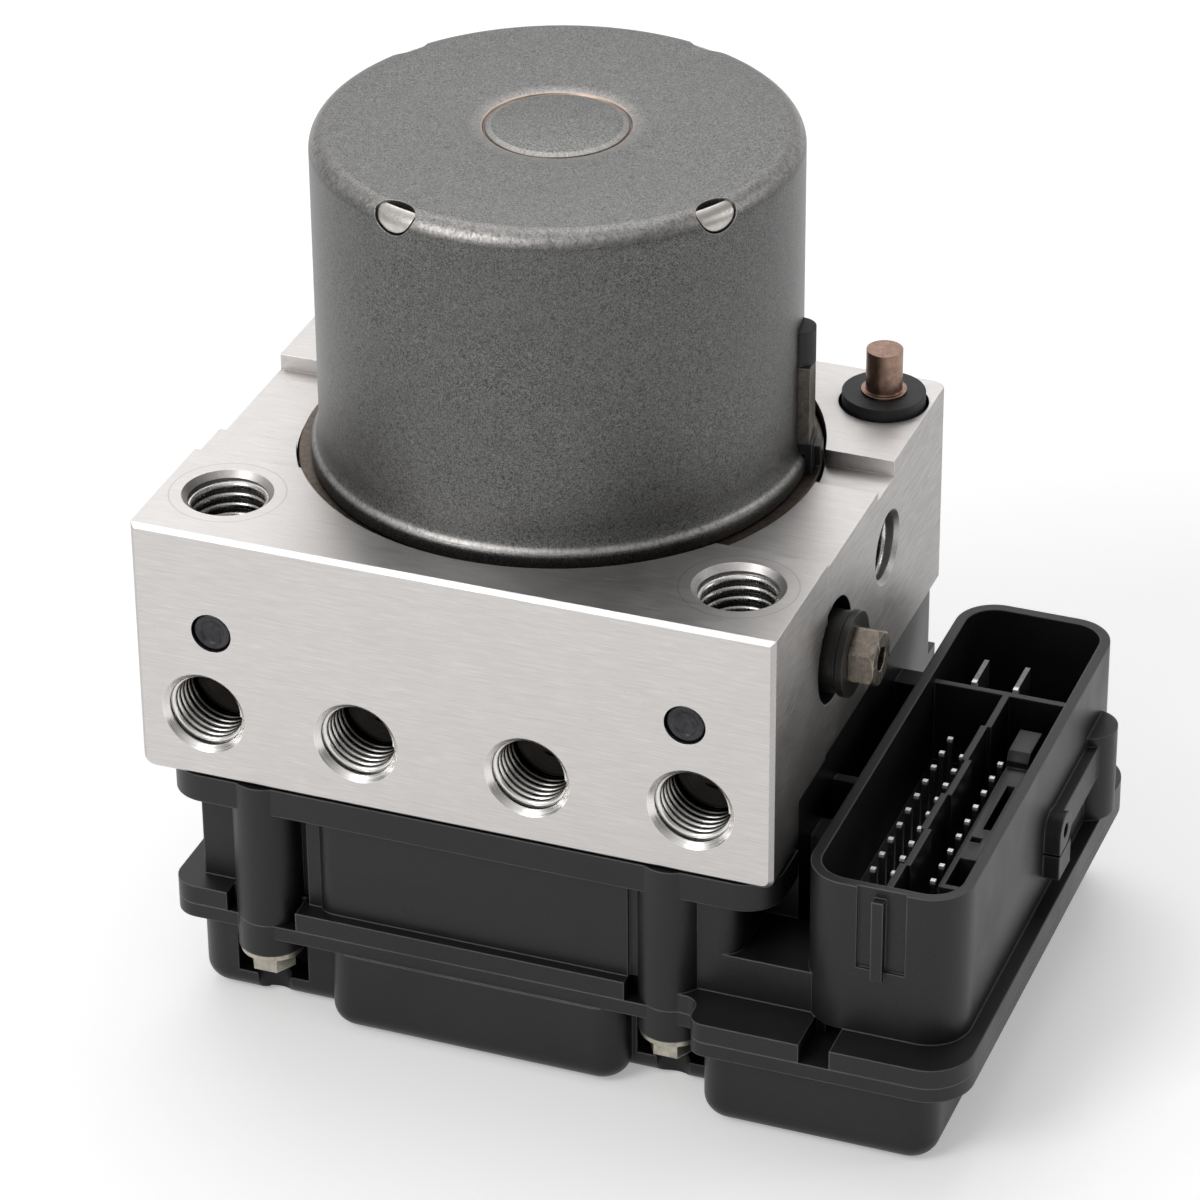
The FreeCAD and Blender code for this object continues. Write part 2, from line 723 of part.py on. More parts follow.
def make_valve_block():
    """Milled aluminium block with its ports, the motor recess and the bores for pump and valves."""
    body = new_body("valve_block")
    top, land = BLOCK_TOP, BLOCK_TOP + " - mid_land_drop"
    side = new_sketch(body, "block_side", "YZ_Plane")
    polygon(side, [
        ("-block_front", "block_bottom"), ("-block_front", top),
        ("front_land - block_front", top), ("front_land - block_front", land),
        ("rear_land_front", land), ("rear_land_front", top),
        ("block_back", top), ("block_back", UNDERSIDE),
        ("-step_front", UNDERSIDE), ("-step_front", "block_bottom"),
    ])
    blank = pad(body, "block_blank", side, "block_width", centred=True)
    rear = [("-block_width / 2", "block_back"), ("block_width / 2", "block_back")]
    rounded = dress(body, "Fillet", "block_rounding", blank, upright_edges(blank, rear), "block_corner")
    side_face = number("block_width / 2")
    toe = level_edges(rounded, "block_bottom", lambda middle: abs(abs(middle.x) - side_face) < NEAR)
    rounded = dress(body, "Fillet", "block_toe_rounding", rounded, toe, "block_toe")
    front = number("-block_front")
    rim = level_edges(rounded, top, lambda middle: abs(middle.y - front) < NEAR)
    rim += upright_edges(rounded, [("-block_width / 2", "-block_front"), ("block_width / 2", "-block_front")])
    dress(body, "Chamfer", "block_bevelling", rounded, rim, "block_bevel")

    relief = new_sketch(body, "side_relief_plan", "YZ_Plane", "block_width / 2")
    low, high = "block_bottom - over_cut", top + " + over_cut"
    polygon(relief, [("front_land - block_front", low), ("block_back + over_cut", low),
                     ("block_back + over_cut", high), ("front_land - block_front", high)])
    pocket(body, "side_relief_cut", relief, "side_relief")
    channel = new_sketch(body, "channel_plan", offset=land)
    polygon(channel, [
        ("-block_width", "-channel_left"), ("0", "-channel_left"), ("0", "channel_right"),
        ("block_width", "channel_right"), ("block_width", "rear_land_front"),
        ("-block_width", "rear_land_front"),
    ])
    pocket(body, "channel", channel, "channel_drop")
    recess = new_sketch(body, "recess_plan", offset=top)
    circles(recess, "recess_radius", [("0", "0")])
    pocket(body, "recess", recess, "recess_depth")
    chamber = new_sketch(body, "chamber_plan", offset=top)
    circles(chamber, "chamber_radius", [("0", "0")])
    pocket(body, "chamber", chamber, top + " - chamber_floor")

    inlets = new_sketch(body, "top_ports_plan", offset=top)
    circles(inlets, "top_port_radius", [("-top_port_x", "-top_port_y"), ("top_port_x", "-top_port_y")])
    hole(body, "top_ports", inlets, "top_port_radius", "top_port_depth", "top_port_mouth")
    wheels = new_sketch(body, "front_ports_plan", "XZ_Plane", "block_front")
    ports = ["front_port_one", "front_port_two", "front_port_three", "front_port_four"]
    circles(wheels, "front_port_radius", [(x, "front_port_level") for x in ports])
    hole(body, "front_ports", wheels, "front_port_radius", "front_port_depth", "front_port_mouth")
    flank = new_sketch(body, "side_hole_plan", "YZ_Plane", "block_width / 2")
    circles(flank, "side_hole_radius", [("side_hole_y", "side_hole_level")])
    hole(body, "side_hole", flank, "side_hole_radius", "side_hole_depth", "side_hole_mouth")

    plugs = new_sketch(body, "plug_seats_plan", "XZ_Plane", "block_front")
    circles(plugs, "plug_radius", [("plug_left", "plug_level"), ("plug_right", "plug_level")])
    pocket(body, "plug_seats", plugs, "plug_depth")
    bush = new_sketch(body, "bush_hole_plan", "YZ_Plane", "block_width / 2")
    circles(bush, "bush_hole_radius", [("bush_y", "bush_level")])
    pocket(body, "bush_hole", bush, "bush_hole_depth")
    bolt = new_sketch(body, "bolt_hole_plan", "YZ_Plane", "block_width / 2")
    circles(bolt, "bolt_radius", [("bush_y", "bush_level")])
    pocket(body, "bolt_hole", bolt, "bush_hole_depth + bolt_reach")
    seat = new_sketch(body, "grommet_seat_plan", offset=top)
    circles(seat, "grommet_seat_radius", [("pin_x", "pin_y")])
    pocket(body, "grommet_seat", seat, "grommet_seat_depth")
    pin = new_sketch(body, "pin_hole_plan", offset=top)
    circles(pin, "pin_radius", [("pin_x", "pin_y")])
    pocket(body, "pin_hole", pin, "pin_sunk")

    pump = new_sketch(body, "pump_bore_plan", "YZ_Plane", "-block_width / 2")
    circles(pump, "pump_bore_radius", [("0", "pump_level")])
    pocket(body, "pump_bore", pump, "block_width / 2 + pump_bore_end", reverse=True)
    stores = new_sketch(body, "store_bores_plan", "XZ_Plane", "-block_back")
    circles(stores, "store_radius", [("-store_x", "store_level"), ("store_x", "store_level")])
    pocket(body, "store_bores", stores, "store_depth", reverse=True)
    valves = new_sketch(body, "valve_bores_plan", offset=UNDERSIDE)
    circles(valves, "valve_radius", INLETS + OUTLETS)
    pocket(body, "valve_bores", valves, "valve_depth", reverse=True)
    low = new_sketch(body, "front_screws_plan", offset="block_bottom")
    circles(low, "screw_radius", FRONT_TOWERS)
    pocket(body, "front_screw_holes", low, "screw_bite", reverse=True)
    high = new_sketch(body, "rear_screws_plan", offset=UNDERSIDE)
    circles(high, "screw_radius", REAR_TOWERS)
    pocket(body, "rear_screw_holes", high, "screw_bite", reverse=True)
    node(body, "hydraulic_block")


def make_block_fittings():
    """Closing plugs, the side bush with its bolt, and the grommet with its pin."""
    plugs = []
    for side, x in (("left", "plug_left"), ("right", "plug_right")):
        barrel = cylinder("plug_barrel_" + side, "plug_radius", "plug_depth - plug_sunk",
                          x, "plug_sunk - block_front", "plug_level", "Y")
        dish = document.addObject("Part::Sphere", "plug_dish_" + side)
        bind(dish, Radius="plug_dish_radius")
        place(dish, x, "plug_sunk - block_front + plug_dish - plug_dish_radius", "plug_level")
        plugs.append(cut("plug_" + side, barrel, dish))
    node(group("plugs", plugs), "front_plugs")

    face = "block_width / 2"
    depth = "bush_hole_depth"
    sleeve = cylinder("bush_sleeve", "bush_radius", depth + " + bush_proud", face + " - " + depth,
                      "bush_y", "bush_level", "X")
    neck = cylinder("bush_neck_groove", "bush_radius - bush_neck", "bush_proud + bush_neck",
                    face, "bush_y", "bush_level", "X")
    ring = cylinder("bush_ring", "bush_ring_radius", "bush_ring_width", face + " + bush_proud + bush_neck",
                    "bush_y", "bush_level", "X")
    bore = cylinder("bush_bore", "bolt_radius", "4 * bush_hole_depth", face + " - " + depth,
                    "bush_y", "bush_level", "X")
    node(cut("side_bush_solid", fuse("bush_blank", sleeve, neck, ring), bore), "side_bush")

    end = face + " + bush_proud + bush_neck + bush_ring_width"
    shank = cylinder("side_bolt_shank", "bolt_radius", end + " - (%s) + %s + bolt_reach" % (face, depth),
                     face + " - %s - bolt_reach" % depth, "bush_y", "bush_level", "X")
    head = prism("side_bolt_head", 6, "bolt_head_width", "bolt_head_height", end, "bush_y", "bush_level", "X")
    socket = cylinder("side_bolt_socket", "bolt_socket", "bolt_socket_depth",
                      end + " + bolt_head_height - bolt_socket_depth", "bush_y", "bush_level", "X")
    bevel = document.addObject("Part::Cone", "side_bolt_bevel")
    bind(bevel, Radius1="bolt_head_width * 0.5 + bolt_head_height", Radius2="bolt_head_width * 0.5")
    bind(bevel, Height="bolt_head_height")
    place(bevel, end, "bush_y", "bush_level", "X")
    crown = common("side_bolt_crown", head, bevel)
    node(cut("side_bolt_solid", fuse("side_bolt_blank", shank, crown), socket), "side_bolt")

    seat = BLOCK_TOP + " - grommet_seat_depth"
    grommet = tube("grommet", "grommet_radius", "pin_radius", "grommet_height", "pin_x", "pin_y", seat)
    node(grommet, "pin_grommet")
    stud = cylinder("pin_stud", "pin_radius", "pin_height + pin_sunk",
                    "pin_x", "pin_y", BLOCK_TOP + " - pin_sunk")
    collar = cylinder("pin_collar", "pin_collar_radius", "pin_collar_height", "pin_x", "pin_y",
                      seat + " + grommet_height")
    node(fuse("pin_solid", stud, collar), "mounting_pin")


def window_shape(name, shrink, turn):
    """U-shaped prism through the rim of the casing, turned to one of the four windows."""
    half = "window_width / 2 - " + shrink
    low = "can_top - window_drop + window_width / 2"
    inner = "can_radius - window_inset + " + shrink
    span = "2 * window_inset"
    bottom = cylinder(name + "_round", half, span, inner, "0", low, "X")
    sides = box(name + "_sides", (inner, inner + " + " + span), ("-(%s)" % half, half),
                (low, "can_top + window_width"))
    return turned(fuse(name + "_form", bottom, sides), turn, name)


def make_motor_casing():
    """Deep-drawn can with its windows, the end shield whose tabs fill them, and the flange plate."""
    body = new_body("can_form")
    profile = new_sketch(body, "can_profile", "XZ_Plane")
    inner = "can_radius - can_wall"
    ceiling = "can_top - can_wall"
    bead_top = "can_bottom + can_bead_height"
    groove = "can_top - disc_groove_depth"
    polygon(profile, [
        (inner, "can_bottom"), ("can_radius + can_bead", "can_bottom"), ("can_radius + can_bead", bead_top),
        ("can_radius", bead_top + " + can_bead"), ("can_radius", "can_top"),
        ("disc_radius", "can_top"), ("disc_radius", groove), ("disc_radius - disc_groove", groove),
        ("disc_radius - disc_groove", "can_top"), ("0", "can_top"), ("0", ceiling), (inner, ceiling),
    ])
    drawn = revolve(body, "can_drawn", profile)
    reach = number("can_radius") - NEAR
    rim = level_edges(drawn, "can_top", lambda middle: True)
    rim = [name for name in rim if drawn.Shape.getElement(name).BoundBox.XMax > reach]
    dress(body, "Fillet", "can_rim", drawn, rim, "can_round")
    slots = [window_shape("window_%d" % index, "0", turn) for index, turn in enumerate(WINDOWS, 1)]
    node(cut("can_solid", body, *slots), "motor_can")

    disc_bottom = ceiling + " - shield_height - window_gap / 2"
    disc = cylinder("shield_disc", inner + " - window_gap / 2", "shield_height", z=disc_bottom)
    boss = cylinder("shield_boss", "shaft_radius + bush_wall + can_wall", "upper_bush_height",
                    z=disc_bottom + " + shield_height - upper_bush_height")
    stock = new_body("tab_stock")
    outline = new_sketch(stock, "tab_profile", "XZ_Plane")
    skin = "can_radius - window_gap"
    polygon(outline, [("can_radius - window_inset", disc_bottom), (skin, disc_bottom),
                      (skin, "can_top - window_gap"),
                      ("can_radius - window_inset", "can_top - window_gap")])
    ring = revolve(stock, "tab_ring", outline)
    limit = number(skin) - NEAR
    names = level_edges(ring, "can_top - window_gap")
    names = [name for name in names if ring.Shape.getElement(name).BoundBox.XMax > limit]
    dress(stock, "Fillet", "tab_rounding", ring, names, "can_round - window_gap")
    masks = [window_shape("tab_mask_%d" % index, "window_gap / 2", turn)
             for index, turn in enumerate(WINDOWS, 1)]
    tabs = common("shield_tabs", stock, fuse("tab_masks", *masks))
    bore = cylinder("shield_bore", "shaft_radius + bush_wall", "2 * upper_bush_height",
                    z=disc_bottom + " - upper_bush_height")
    shield = cut("shield_ring", fuse("shield_plate", disc, boss), bore)
    node(fuse("shield_solid", shield, tabs), "motor_end_shield")

    plate = cylinder("flange_disc", "flange_plate_radius", "flange_plate_height", z=RECESS_FLOOR)
    collar = cylinder("flange_collar", "chamber_radius - piston_gap", "collar_depth",
                      z=RECESS_FLOOR + " - collar_depth")
    bore = cylinder("flange_bore", "shaft_radius + bush_wall", "collar_depth + flange_plate_height",
                    z=RECESS_FLOOR + " - collar_depth")
    node(cut("flange_solid", fuse("flange_blank", plate, collar), bore), "motor_flange")
    node(tube("lower_bush_ring", "shaft_radius + bush_wall", "shaft_radius + bearing_gap",
              "collar_depth + flange_plate_height", z=RECESS_FLOOR + " - collar_depth"), "lower_shaft_bush")
    node(tube("upper_bush_ring", "shaft_radius + bush_wall", "shaft_radius + bearing_gap",
              "upper_bush_height", z=disc_bottom + " + shield_height - upper_bush_height"),
         "upper_shaft_bush")


def side_piece(name, low, high, thickness, nose=False):
    """Piece on the side of the motor casing, square or round in plan, cut to the casing's curve."""
    half, height = "strip_width / 2", "(%s) - (%s)" % (high, low)
    if nose:
        blank = cylinder(name + "_nose", half, height, "can_radius + %s - %s" % (thickness, half), "0", low)
    else:
        blank = box(name + "_brick", ("can_radius - can_wall", "can_radius + " + thickness),
                    ("-" + half, half), (low, high))
    tools = [cylinder(name + "_hollow", "can_radius", height, z=low)]
    if low == "can_bottom":
        tools.append(cylinder(name + "_bead", "can_radius + can_bead", "can_bead_height + can_bead", z=low))
    return turned(cut(name + "_cut", blank, *tools), "strip_turn", name)


def make_side_strip():
    """Clip, metal strip and rubber cap that run up the side of the motor casing."""
    clip_low = "can_bottom"
    strip_low = clip_low + " + clip_height"
    cap_low = strip_low + " + strip_height"
    clip = side_piece("clip_block", clip_low, strip_low, "strip_thickness")
    face = "can_radius + strip_thickness"
    brick = box("clip_lug_brick", (face, face + " + clip_lug"), ("-clip_lug_width / 2", "clip_lug_width / 2"),
                (clip_low + " + clip_lug_lift", clip_low + " + clip_lug_lift + clip_lug_height"))
    node(fuse("clip_solid", clip, turned(brick, "strip_turn", "clip_lug_turned")), "strip_clip")
    node(side_piece("strip_solid", strip_low, cap_low, "strip_plate"), "motor_side_strip")
    node(side_piece("cap_solid", cap_low, cap_low + " + strip_cap_height", "strip_thickness", nose=True),
         "strip_cap")


def make_rotor():
    """Shaft with its eccentric, the wound armature and the commutator: they turn together."""
    body = new_body("shaft_form")
    profile = new_sketch(body, "shaft_plan", offset="chamber_floor + shaft_end_gap")
    circles(profile, "shaft_radius", [("0", "0")])
    pad(body, "shaft_rod", profile, "shaft_top - chamber_floor - shaft_end_gap")
    lobe = new_sketch(body, "eccentric_plan", offset="pump_level - eccentric_height / 2")
    circles(lobe, "eccentric_radius", [("eccentric_throw", "0")])
    pad(body, "eccentric", lobe, "eccentric_height")
    node(body, "motor_shaft")
    node(tube("eccentric_ring_solid", "ring_radius", "eccentric_radius", "eccentric_height",
              "eccentric_throw", "0", "pump_level - eccentric_height / 2"), "eccentric_bearing")

    core = new_body("core_form")
    plan = new_sketch(core, "core_plan", offset="core_bottom")
    circles(plan, "core_radius", [("0", "0")])
    circles(plan, "shaft_radius", [("0", "0")])
    pad(core, "core_stack", plan, "core_height")
    slot = new_sketch(core, "slot_plan", offset="core_bottom + core_height")
    half = "slot_width / 2"
    polygon(slot, [("core_radius - slot_depth", "-" + half), ("core_radius + over_cut", "-" + half),
                   ("core_radius + over_cut", half), ("core_radius - slot_depth", half)])
    cutout = pocket(core, "slot", slot, "core_height")
    ring = core.newObject("PartDesign::PolarPattern", "slots")
    ring.Originals = [cutout]
    ring.Axis = (slot, ["N_Axis"])
    ring.Angle = 360
    bind(ring, Occurrences="core_slots")
    core.Tip = ring
    document.recompute()
    node(core, "armature_core")

    low = "core_bottom - winding_height"
    rings = [tube("winding_low", "winding_radius", "shaft_radius", "winding_height", z=low),
             tube("winding_high", "winding_radius", "shaft_radius", "winding_height",
                  z="core_bottom + core_height")]
    bars = []
    for index in range(int(number("core_slots"))):
        bar = box("bar_%d" % index, ("core_radius - slot_depth", "winding_radius"), ("-" + half, half),
                  ("core_bottom", "core_bottom + core_height"))
        bars.append(turned(bar, "%d * 360 / core_slots" % index, "bar_turned_%d" % index))
    node(fuse("winding_solid", *(rings + bars)), "armature_winding")
    node(tube("commutator_solid", "commutator_radius", "shaft_radius", "commutator_height",
              z=low + " - commutator_height"), "commutator")


def make_stator():
    """Magnets, brush plate and brushes, which stand still."""
    outer = "can_radius - can_wall"
    shell = tube("magnet_ring", outer, "core_radius + air_gap", "magnet_height",
                 z="core_bottom + core_height / 2 - magnet_height / 2")
    gap = box("magnet_gap", ("-can_radius", "can_radius"), ("-magnet_slot / 2", "magnet_slot / 2"),
              ("core_bottom - magnet_height", "core_bottom + 2 * magnet_height"))
    node(cut("magnets", shell, gap), "field_magnets")
    brush_low = "can_bottom + brush_plate_height"
    node(tube("brush_plate_ring", outer, "commutator_radius + 2 * air_gap", "brush_plate_height",
              z="can_bottom"), "brush_plate")
    brushes = []
    start = "commutator_radius + brush_gap"
    for index, side in enumerate(("", "-")):
        near, far = start, start + " + brush_length"
        span = (near, far) if not side else ("-(%s)" % far, "-(%s)" % near)
        brushes.append(box("brush_%d" % index, span, ("-brush_width / 2", "brush_width / 2"),
                           (brush_low, brush_low + " + brush_height")))
    node(group("brush_pair", brushes), "carbon_brushes")


def make_coil_spring(label, radius, wire, turns, length, start, turn):
    """Wire spring with its axis along a direction, from a start point."""
    spring = document.addObject("Part::Feature", label + "_wire")
    coil_radius, wire_radius = number(radius), number(wire)
    run = number(length) - 2 * wire_radius
    path = Part.makeHelix(run / number(turns), run, coil_radius)
    section = Part.Wire(Part.makeCircle(wire_radius, FreeCAD.Vector(coil_radius, 0, 0),
                                        FreeCAD.Vector(0, 1, 0)))
    spring.Shape = Part.Wire(path).makePipeShell([section], True, True)
    origin = FreeCAD.Vector(*[number(text) for text in start])
    lift = TURNS[turn].multVec(FreeCAD.Vector(0, 0, wire_radius))
    spring.Placement = FreeCAD.Placement(origin + lift, TURNS[turn])
    node(spring, label)


def make_pump():
    """Two opposed pump pistons in their sleeves, the return springs and the closing cap."""
    tip = "eccentric_throw + ring_radius + piston_gap"
    spring_run = "sleeve_start + sleeve_length - (%s) - piston_length" % tip
    for side, sign, turn in (("right", "", "X"), ("left", "-", "-X")):
        node(cylinder(side + "_piston", "piston_radius", "piston_length", sign + "(%s)" % tip, "0",
                      "pump_level", turn), "pump_piston_" + side)
        node(tube(side + "_sleeve", "pump_bore_radius", "piston_radius + bearing_gap", "sleeve_length",
                  sign + "sleeve_start", "0", "pump_level", turn), "pump_sleeve_" + side)
        start = (sign + "(%s + piston_length)" % tip, "0", "pump_level")
        make_coil_spring("pump_spring_" + side, "piston_radius - 2 * pump_spring_wire", "pump_spring_wire",
                         "pump_spring_turns", spring_run, start, turn)
    node(cylinder("pump_cap", "pump_bore_radius", "pump_cap_length", "-block_width / 2", "0",
                  "pump_level", "X"), "pump_closing_plug")


def make_accumulators():
    """Low-pressure accumulators of the rear face: piston, spring and cap in each bore."""
    floor = "block_back - store_depth"
    for side, sign in (("left", "-"), ("right", "")):
        x = sign + "store_x"
        rest = floor + " + piston_gap"
        skirt = cylinder("store_skirt_" + side, "store_radius - store_gap", "store_piston_length",
                         x, rest, "store_level", "Y")
        hollow = cylinder("store_hollow_" + side, "store_radius - store_wall", "store_piston_length",
                          x, rest + " + store_wall", "store_level", "Y")
        node(cut("store_piston_" + side, skirt, hollow), "accumulator_piston_" + side)
        cap_start = "block_back - store_cap_length"
        node(cylinder("store_cap_" + side, "store_radius", "store_cap_length", x, cap_start,
                      "store_level", "Y"), "accumulator_cap_" + side)
        run = "%s - (%s) - store_wall" % (cap_start, rest)
        make_coil_spring("accumulator_spring_" + side, "store_radius - store_wall - 2 * store_wire",
                         "store_wire", "store_turns", run, (x, rest + " + store_wall", "store_level"), "Y")


def make_valves():
    """Eight solenoid valves: body with its dome, plunger, and the coil that surrounds the dome."""
    for kind, centres in (("inlet", INLETS), ("outlet", OUTLETS)):
        bodies = []
        for index, (x, y) in enumerate(centres, 1):
            tag = "%s_%d" % (kind, index)
            collar = cylinder("collar_" + tag, "valve_radius", "valve_depth", x, y, UNDERSIDE)
            dome = cylinder("dome_" + tag, "dome_radius", UNDERSIDE + " - dome_bottom", x, y, "dome_bottom")
            tip = "dome_bottom + dome_radius - dome_bore"
            stroke = "plunger_length + plunger_travel + 2 * piston_gap"
            bore = cylinder("dome_bore_" + tag, "dome_bore", stroke, x, y, tip)
            bodies.append(cut("valve_" + tag, fuse("valve_blank_" + tag, collar, dome), bore))
            node(cylinder("plunger_" + tag, "dome_bore - plunger_gap", "plunger_length", x, y,
                          tip + " + piston_gap"), "%s_valve_plunger_%d" % (kind, index))
        node(group(kind + "_bodies", bodies), kind + "_valve_bodies")
    coils = []
    for index, (x, y) in enumerate(INLETS + OUTLETS, 1):
        coils.append(tube("coil_%d" % index, "coil_radius", "dome_radius + coil_gap", "coil_height",
                          x, y, "dome_bottom + dome_radius"))
    node(group("coils", coils), "valve_coils")


def make_housing():
    """Upper shell of the control unit: flange, walls, deck, screw towers and connector shroud."""
    body = new_body("housing_form")
    flange = new_sketch(body, "flange_plan", offset=FLANGE_MID)
    polygon(flange, FLANGE_OUTLINE)
    layer = pad(body, "flange_layer", flange, "upper_flange_height")
    layer = dress(body, "Fillet", "flange_corner_large", layer, upright_edges(layer, FLANGE_OUTLINE[5:7]),
                  "flange_corner")
    layer = dress(body, "Fillet", "flange_corner_small", layer,
                  upright_edges(layer, FLANGE_OUTLINE[:1] + FLANGE_OUTLINE[7:]), "flange_small_corner")
    dress(body, "Fillet", "flange_step_blend", layer, upright_edges(layer, FLANGE_OUTLINE[3:5]),
          "flange_blend")

    walls = new_sketch(body, "walls_plan", offset=FLANGE_TOP)
    polygon(walls, [
        ("-shell_left", "-shell_front"), ("-panel_left", "-shell_front"), ("-panel_left", "-panel_front"),
        ("panel_right", "-panel_front"), ("panel_right", "-ledge_front"), ("ledge_left", "-ledge_front"),
        ("ledge_left", "-pocket_back"), ("shell_right", "-pocket_back"),
        ("shell_right", "shell_back"), ("-shell_left", "shell_back"),
    ])
    shell = pad(body, "walls", walls, PLATE_BOTTOM + " - (%s)" % FLANGE_TOP)
    dress(body, "Fillet", "wall_corners", shell,
          upright_edges(shell, [("ledge_left", "-ledge_front"), ("-panel_left", "-panel_front")]),
          "shell_corner")
    deck = new_sketch(body, "deck_plan", offset=PLATE_BOTTOM)
    rear = "shell_back - deck_set_back"
    polygon(deck, [("-shell_left", DECK_FRONT), ("shell_right", DECK_FRONT), ("shell_right", rear),
                   ("-shell_left", rear)])
    raised = pad(body, "deck", deck, UNDERSIDE + " - (%s)" % PLATE_BOTTOM)
    dress(body, "Fillet", "deck_corners", raised,
          upright_edges(raised, [("shell_right", rear), ("-shell_left", rear)]), "shell_corner")
    plate = new_sketch(body, "plate_plan", offset=PLATE_BOTTOM)
    corners = [("-plate_left", "-plate_front"), ("block_width / 2", "-plate_front"),
               ("block_width / 2", DECK_FRONT), ("-plate_left", DECK_FRONT)]
    polygon(plate, corners)
    top = pad(body, "plate", plate, "plate_height")
    dress(body, "Fillet", "plate_corners", top, upright_edges(top, corners[:2]), "plate_corner")

    towers = new_sketch(body, "towers_plan", offset=FLANGE_MID)
    circles(towers, "tower_radius", FRONT_TOWERS)
    pad(body, "towers", towers, "block_bottom - (%s)" % FLANGE_MID)
    ledge = new_sketch(body, "ledge_plan", offset=FLANGE_TOP)
    near, far = "ledge_left - shell_corner - shell_wall", "shroud_left + shroud_corner"
    polygon(ledge, [(near, "-ledge_front"), (far, "-ledge_front"), (far, "-pocket_back"),
                    (near, "-pocket_back")])
    pad(body, "ledge", ledge, "ledge_height")
    shroud = new_sketch(body, "shroud_plan", offset=FLANGE_TOP)
    corners = [("shroud_left", "-shroud_front"), ("shroud_right", "-shroud_front"),
               ("shroud_right", "shroud_back"), ("shroud_left", "shroud_back")]
    polygon(shroud, corners)
    tall = pad(body, "shroud", shroud, "shroud_top - (%s)" % FLANGE_TOP)
    dress(body, "Fillet", "shroud_corners", tall, upright_edges(tall, corners), "shroud_corner")
    ear = new_sketch(body, "ear_lug_plan", offset=FLANGE_TOP)
    circles(ear, "ear_lug_radius", [("ear_lug_x", "ear_lug_y")])
    pad(body, "ear_lug", ear, "ear_lug_height")
    return body


def shroud_room(name, low, high):
    """Room inside the connector shroud between two levels, with the shroud's rounded corners."""
    body = new_body(name)
    plan = new_sketch(body, name + "_plan", offset=low)
    corners = [("shroud_left + shroud_wall", "shroud_wall - shroud_front"),
               ("shroud_right - shroud_wall", "shroud_wall - shroud_front"),
               ("shroud_right - shroud_wall", "shroud_back - shroud_wall"),
               ("shroud_left + shroud_wall", "shroud_back - shroud_wall")]
    polygon(plan, corners)
    room = pad(body, name + "_pad", plan, "%s - (%s)" % (high, low))
    dress(body, "Fillet", name + "_corners", room, upright_edges(room, corners),
          "shroud_corner - shroud_wall")
    return body


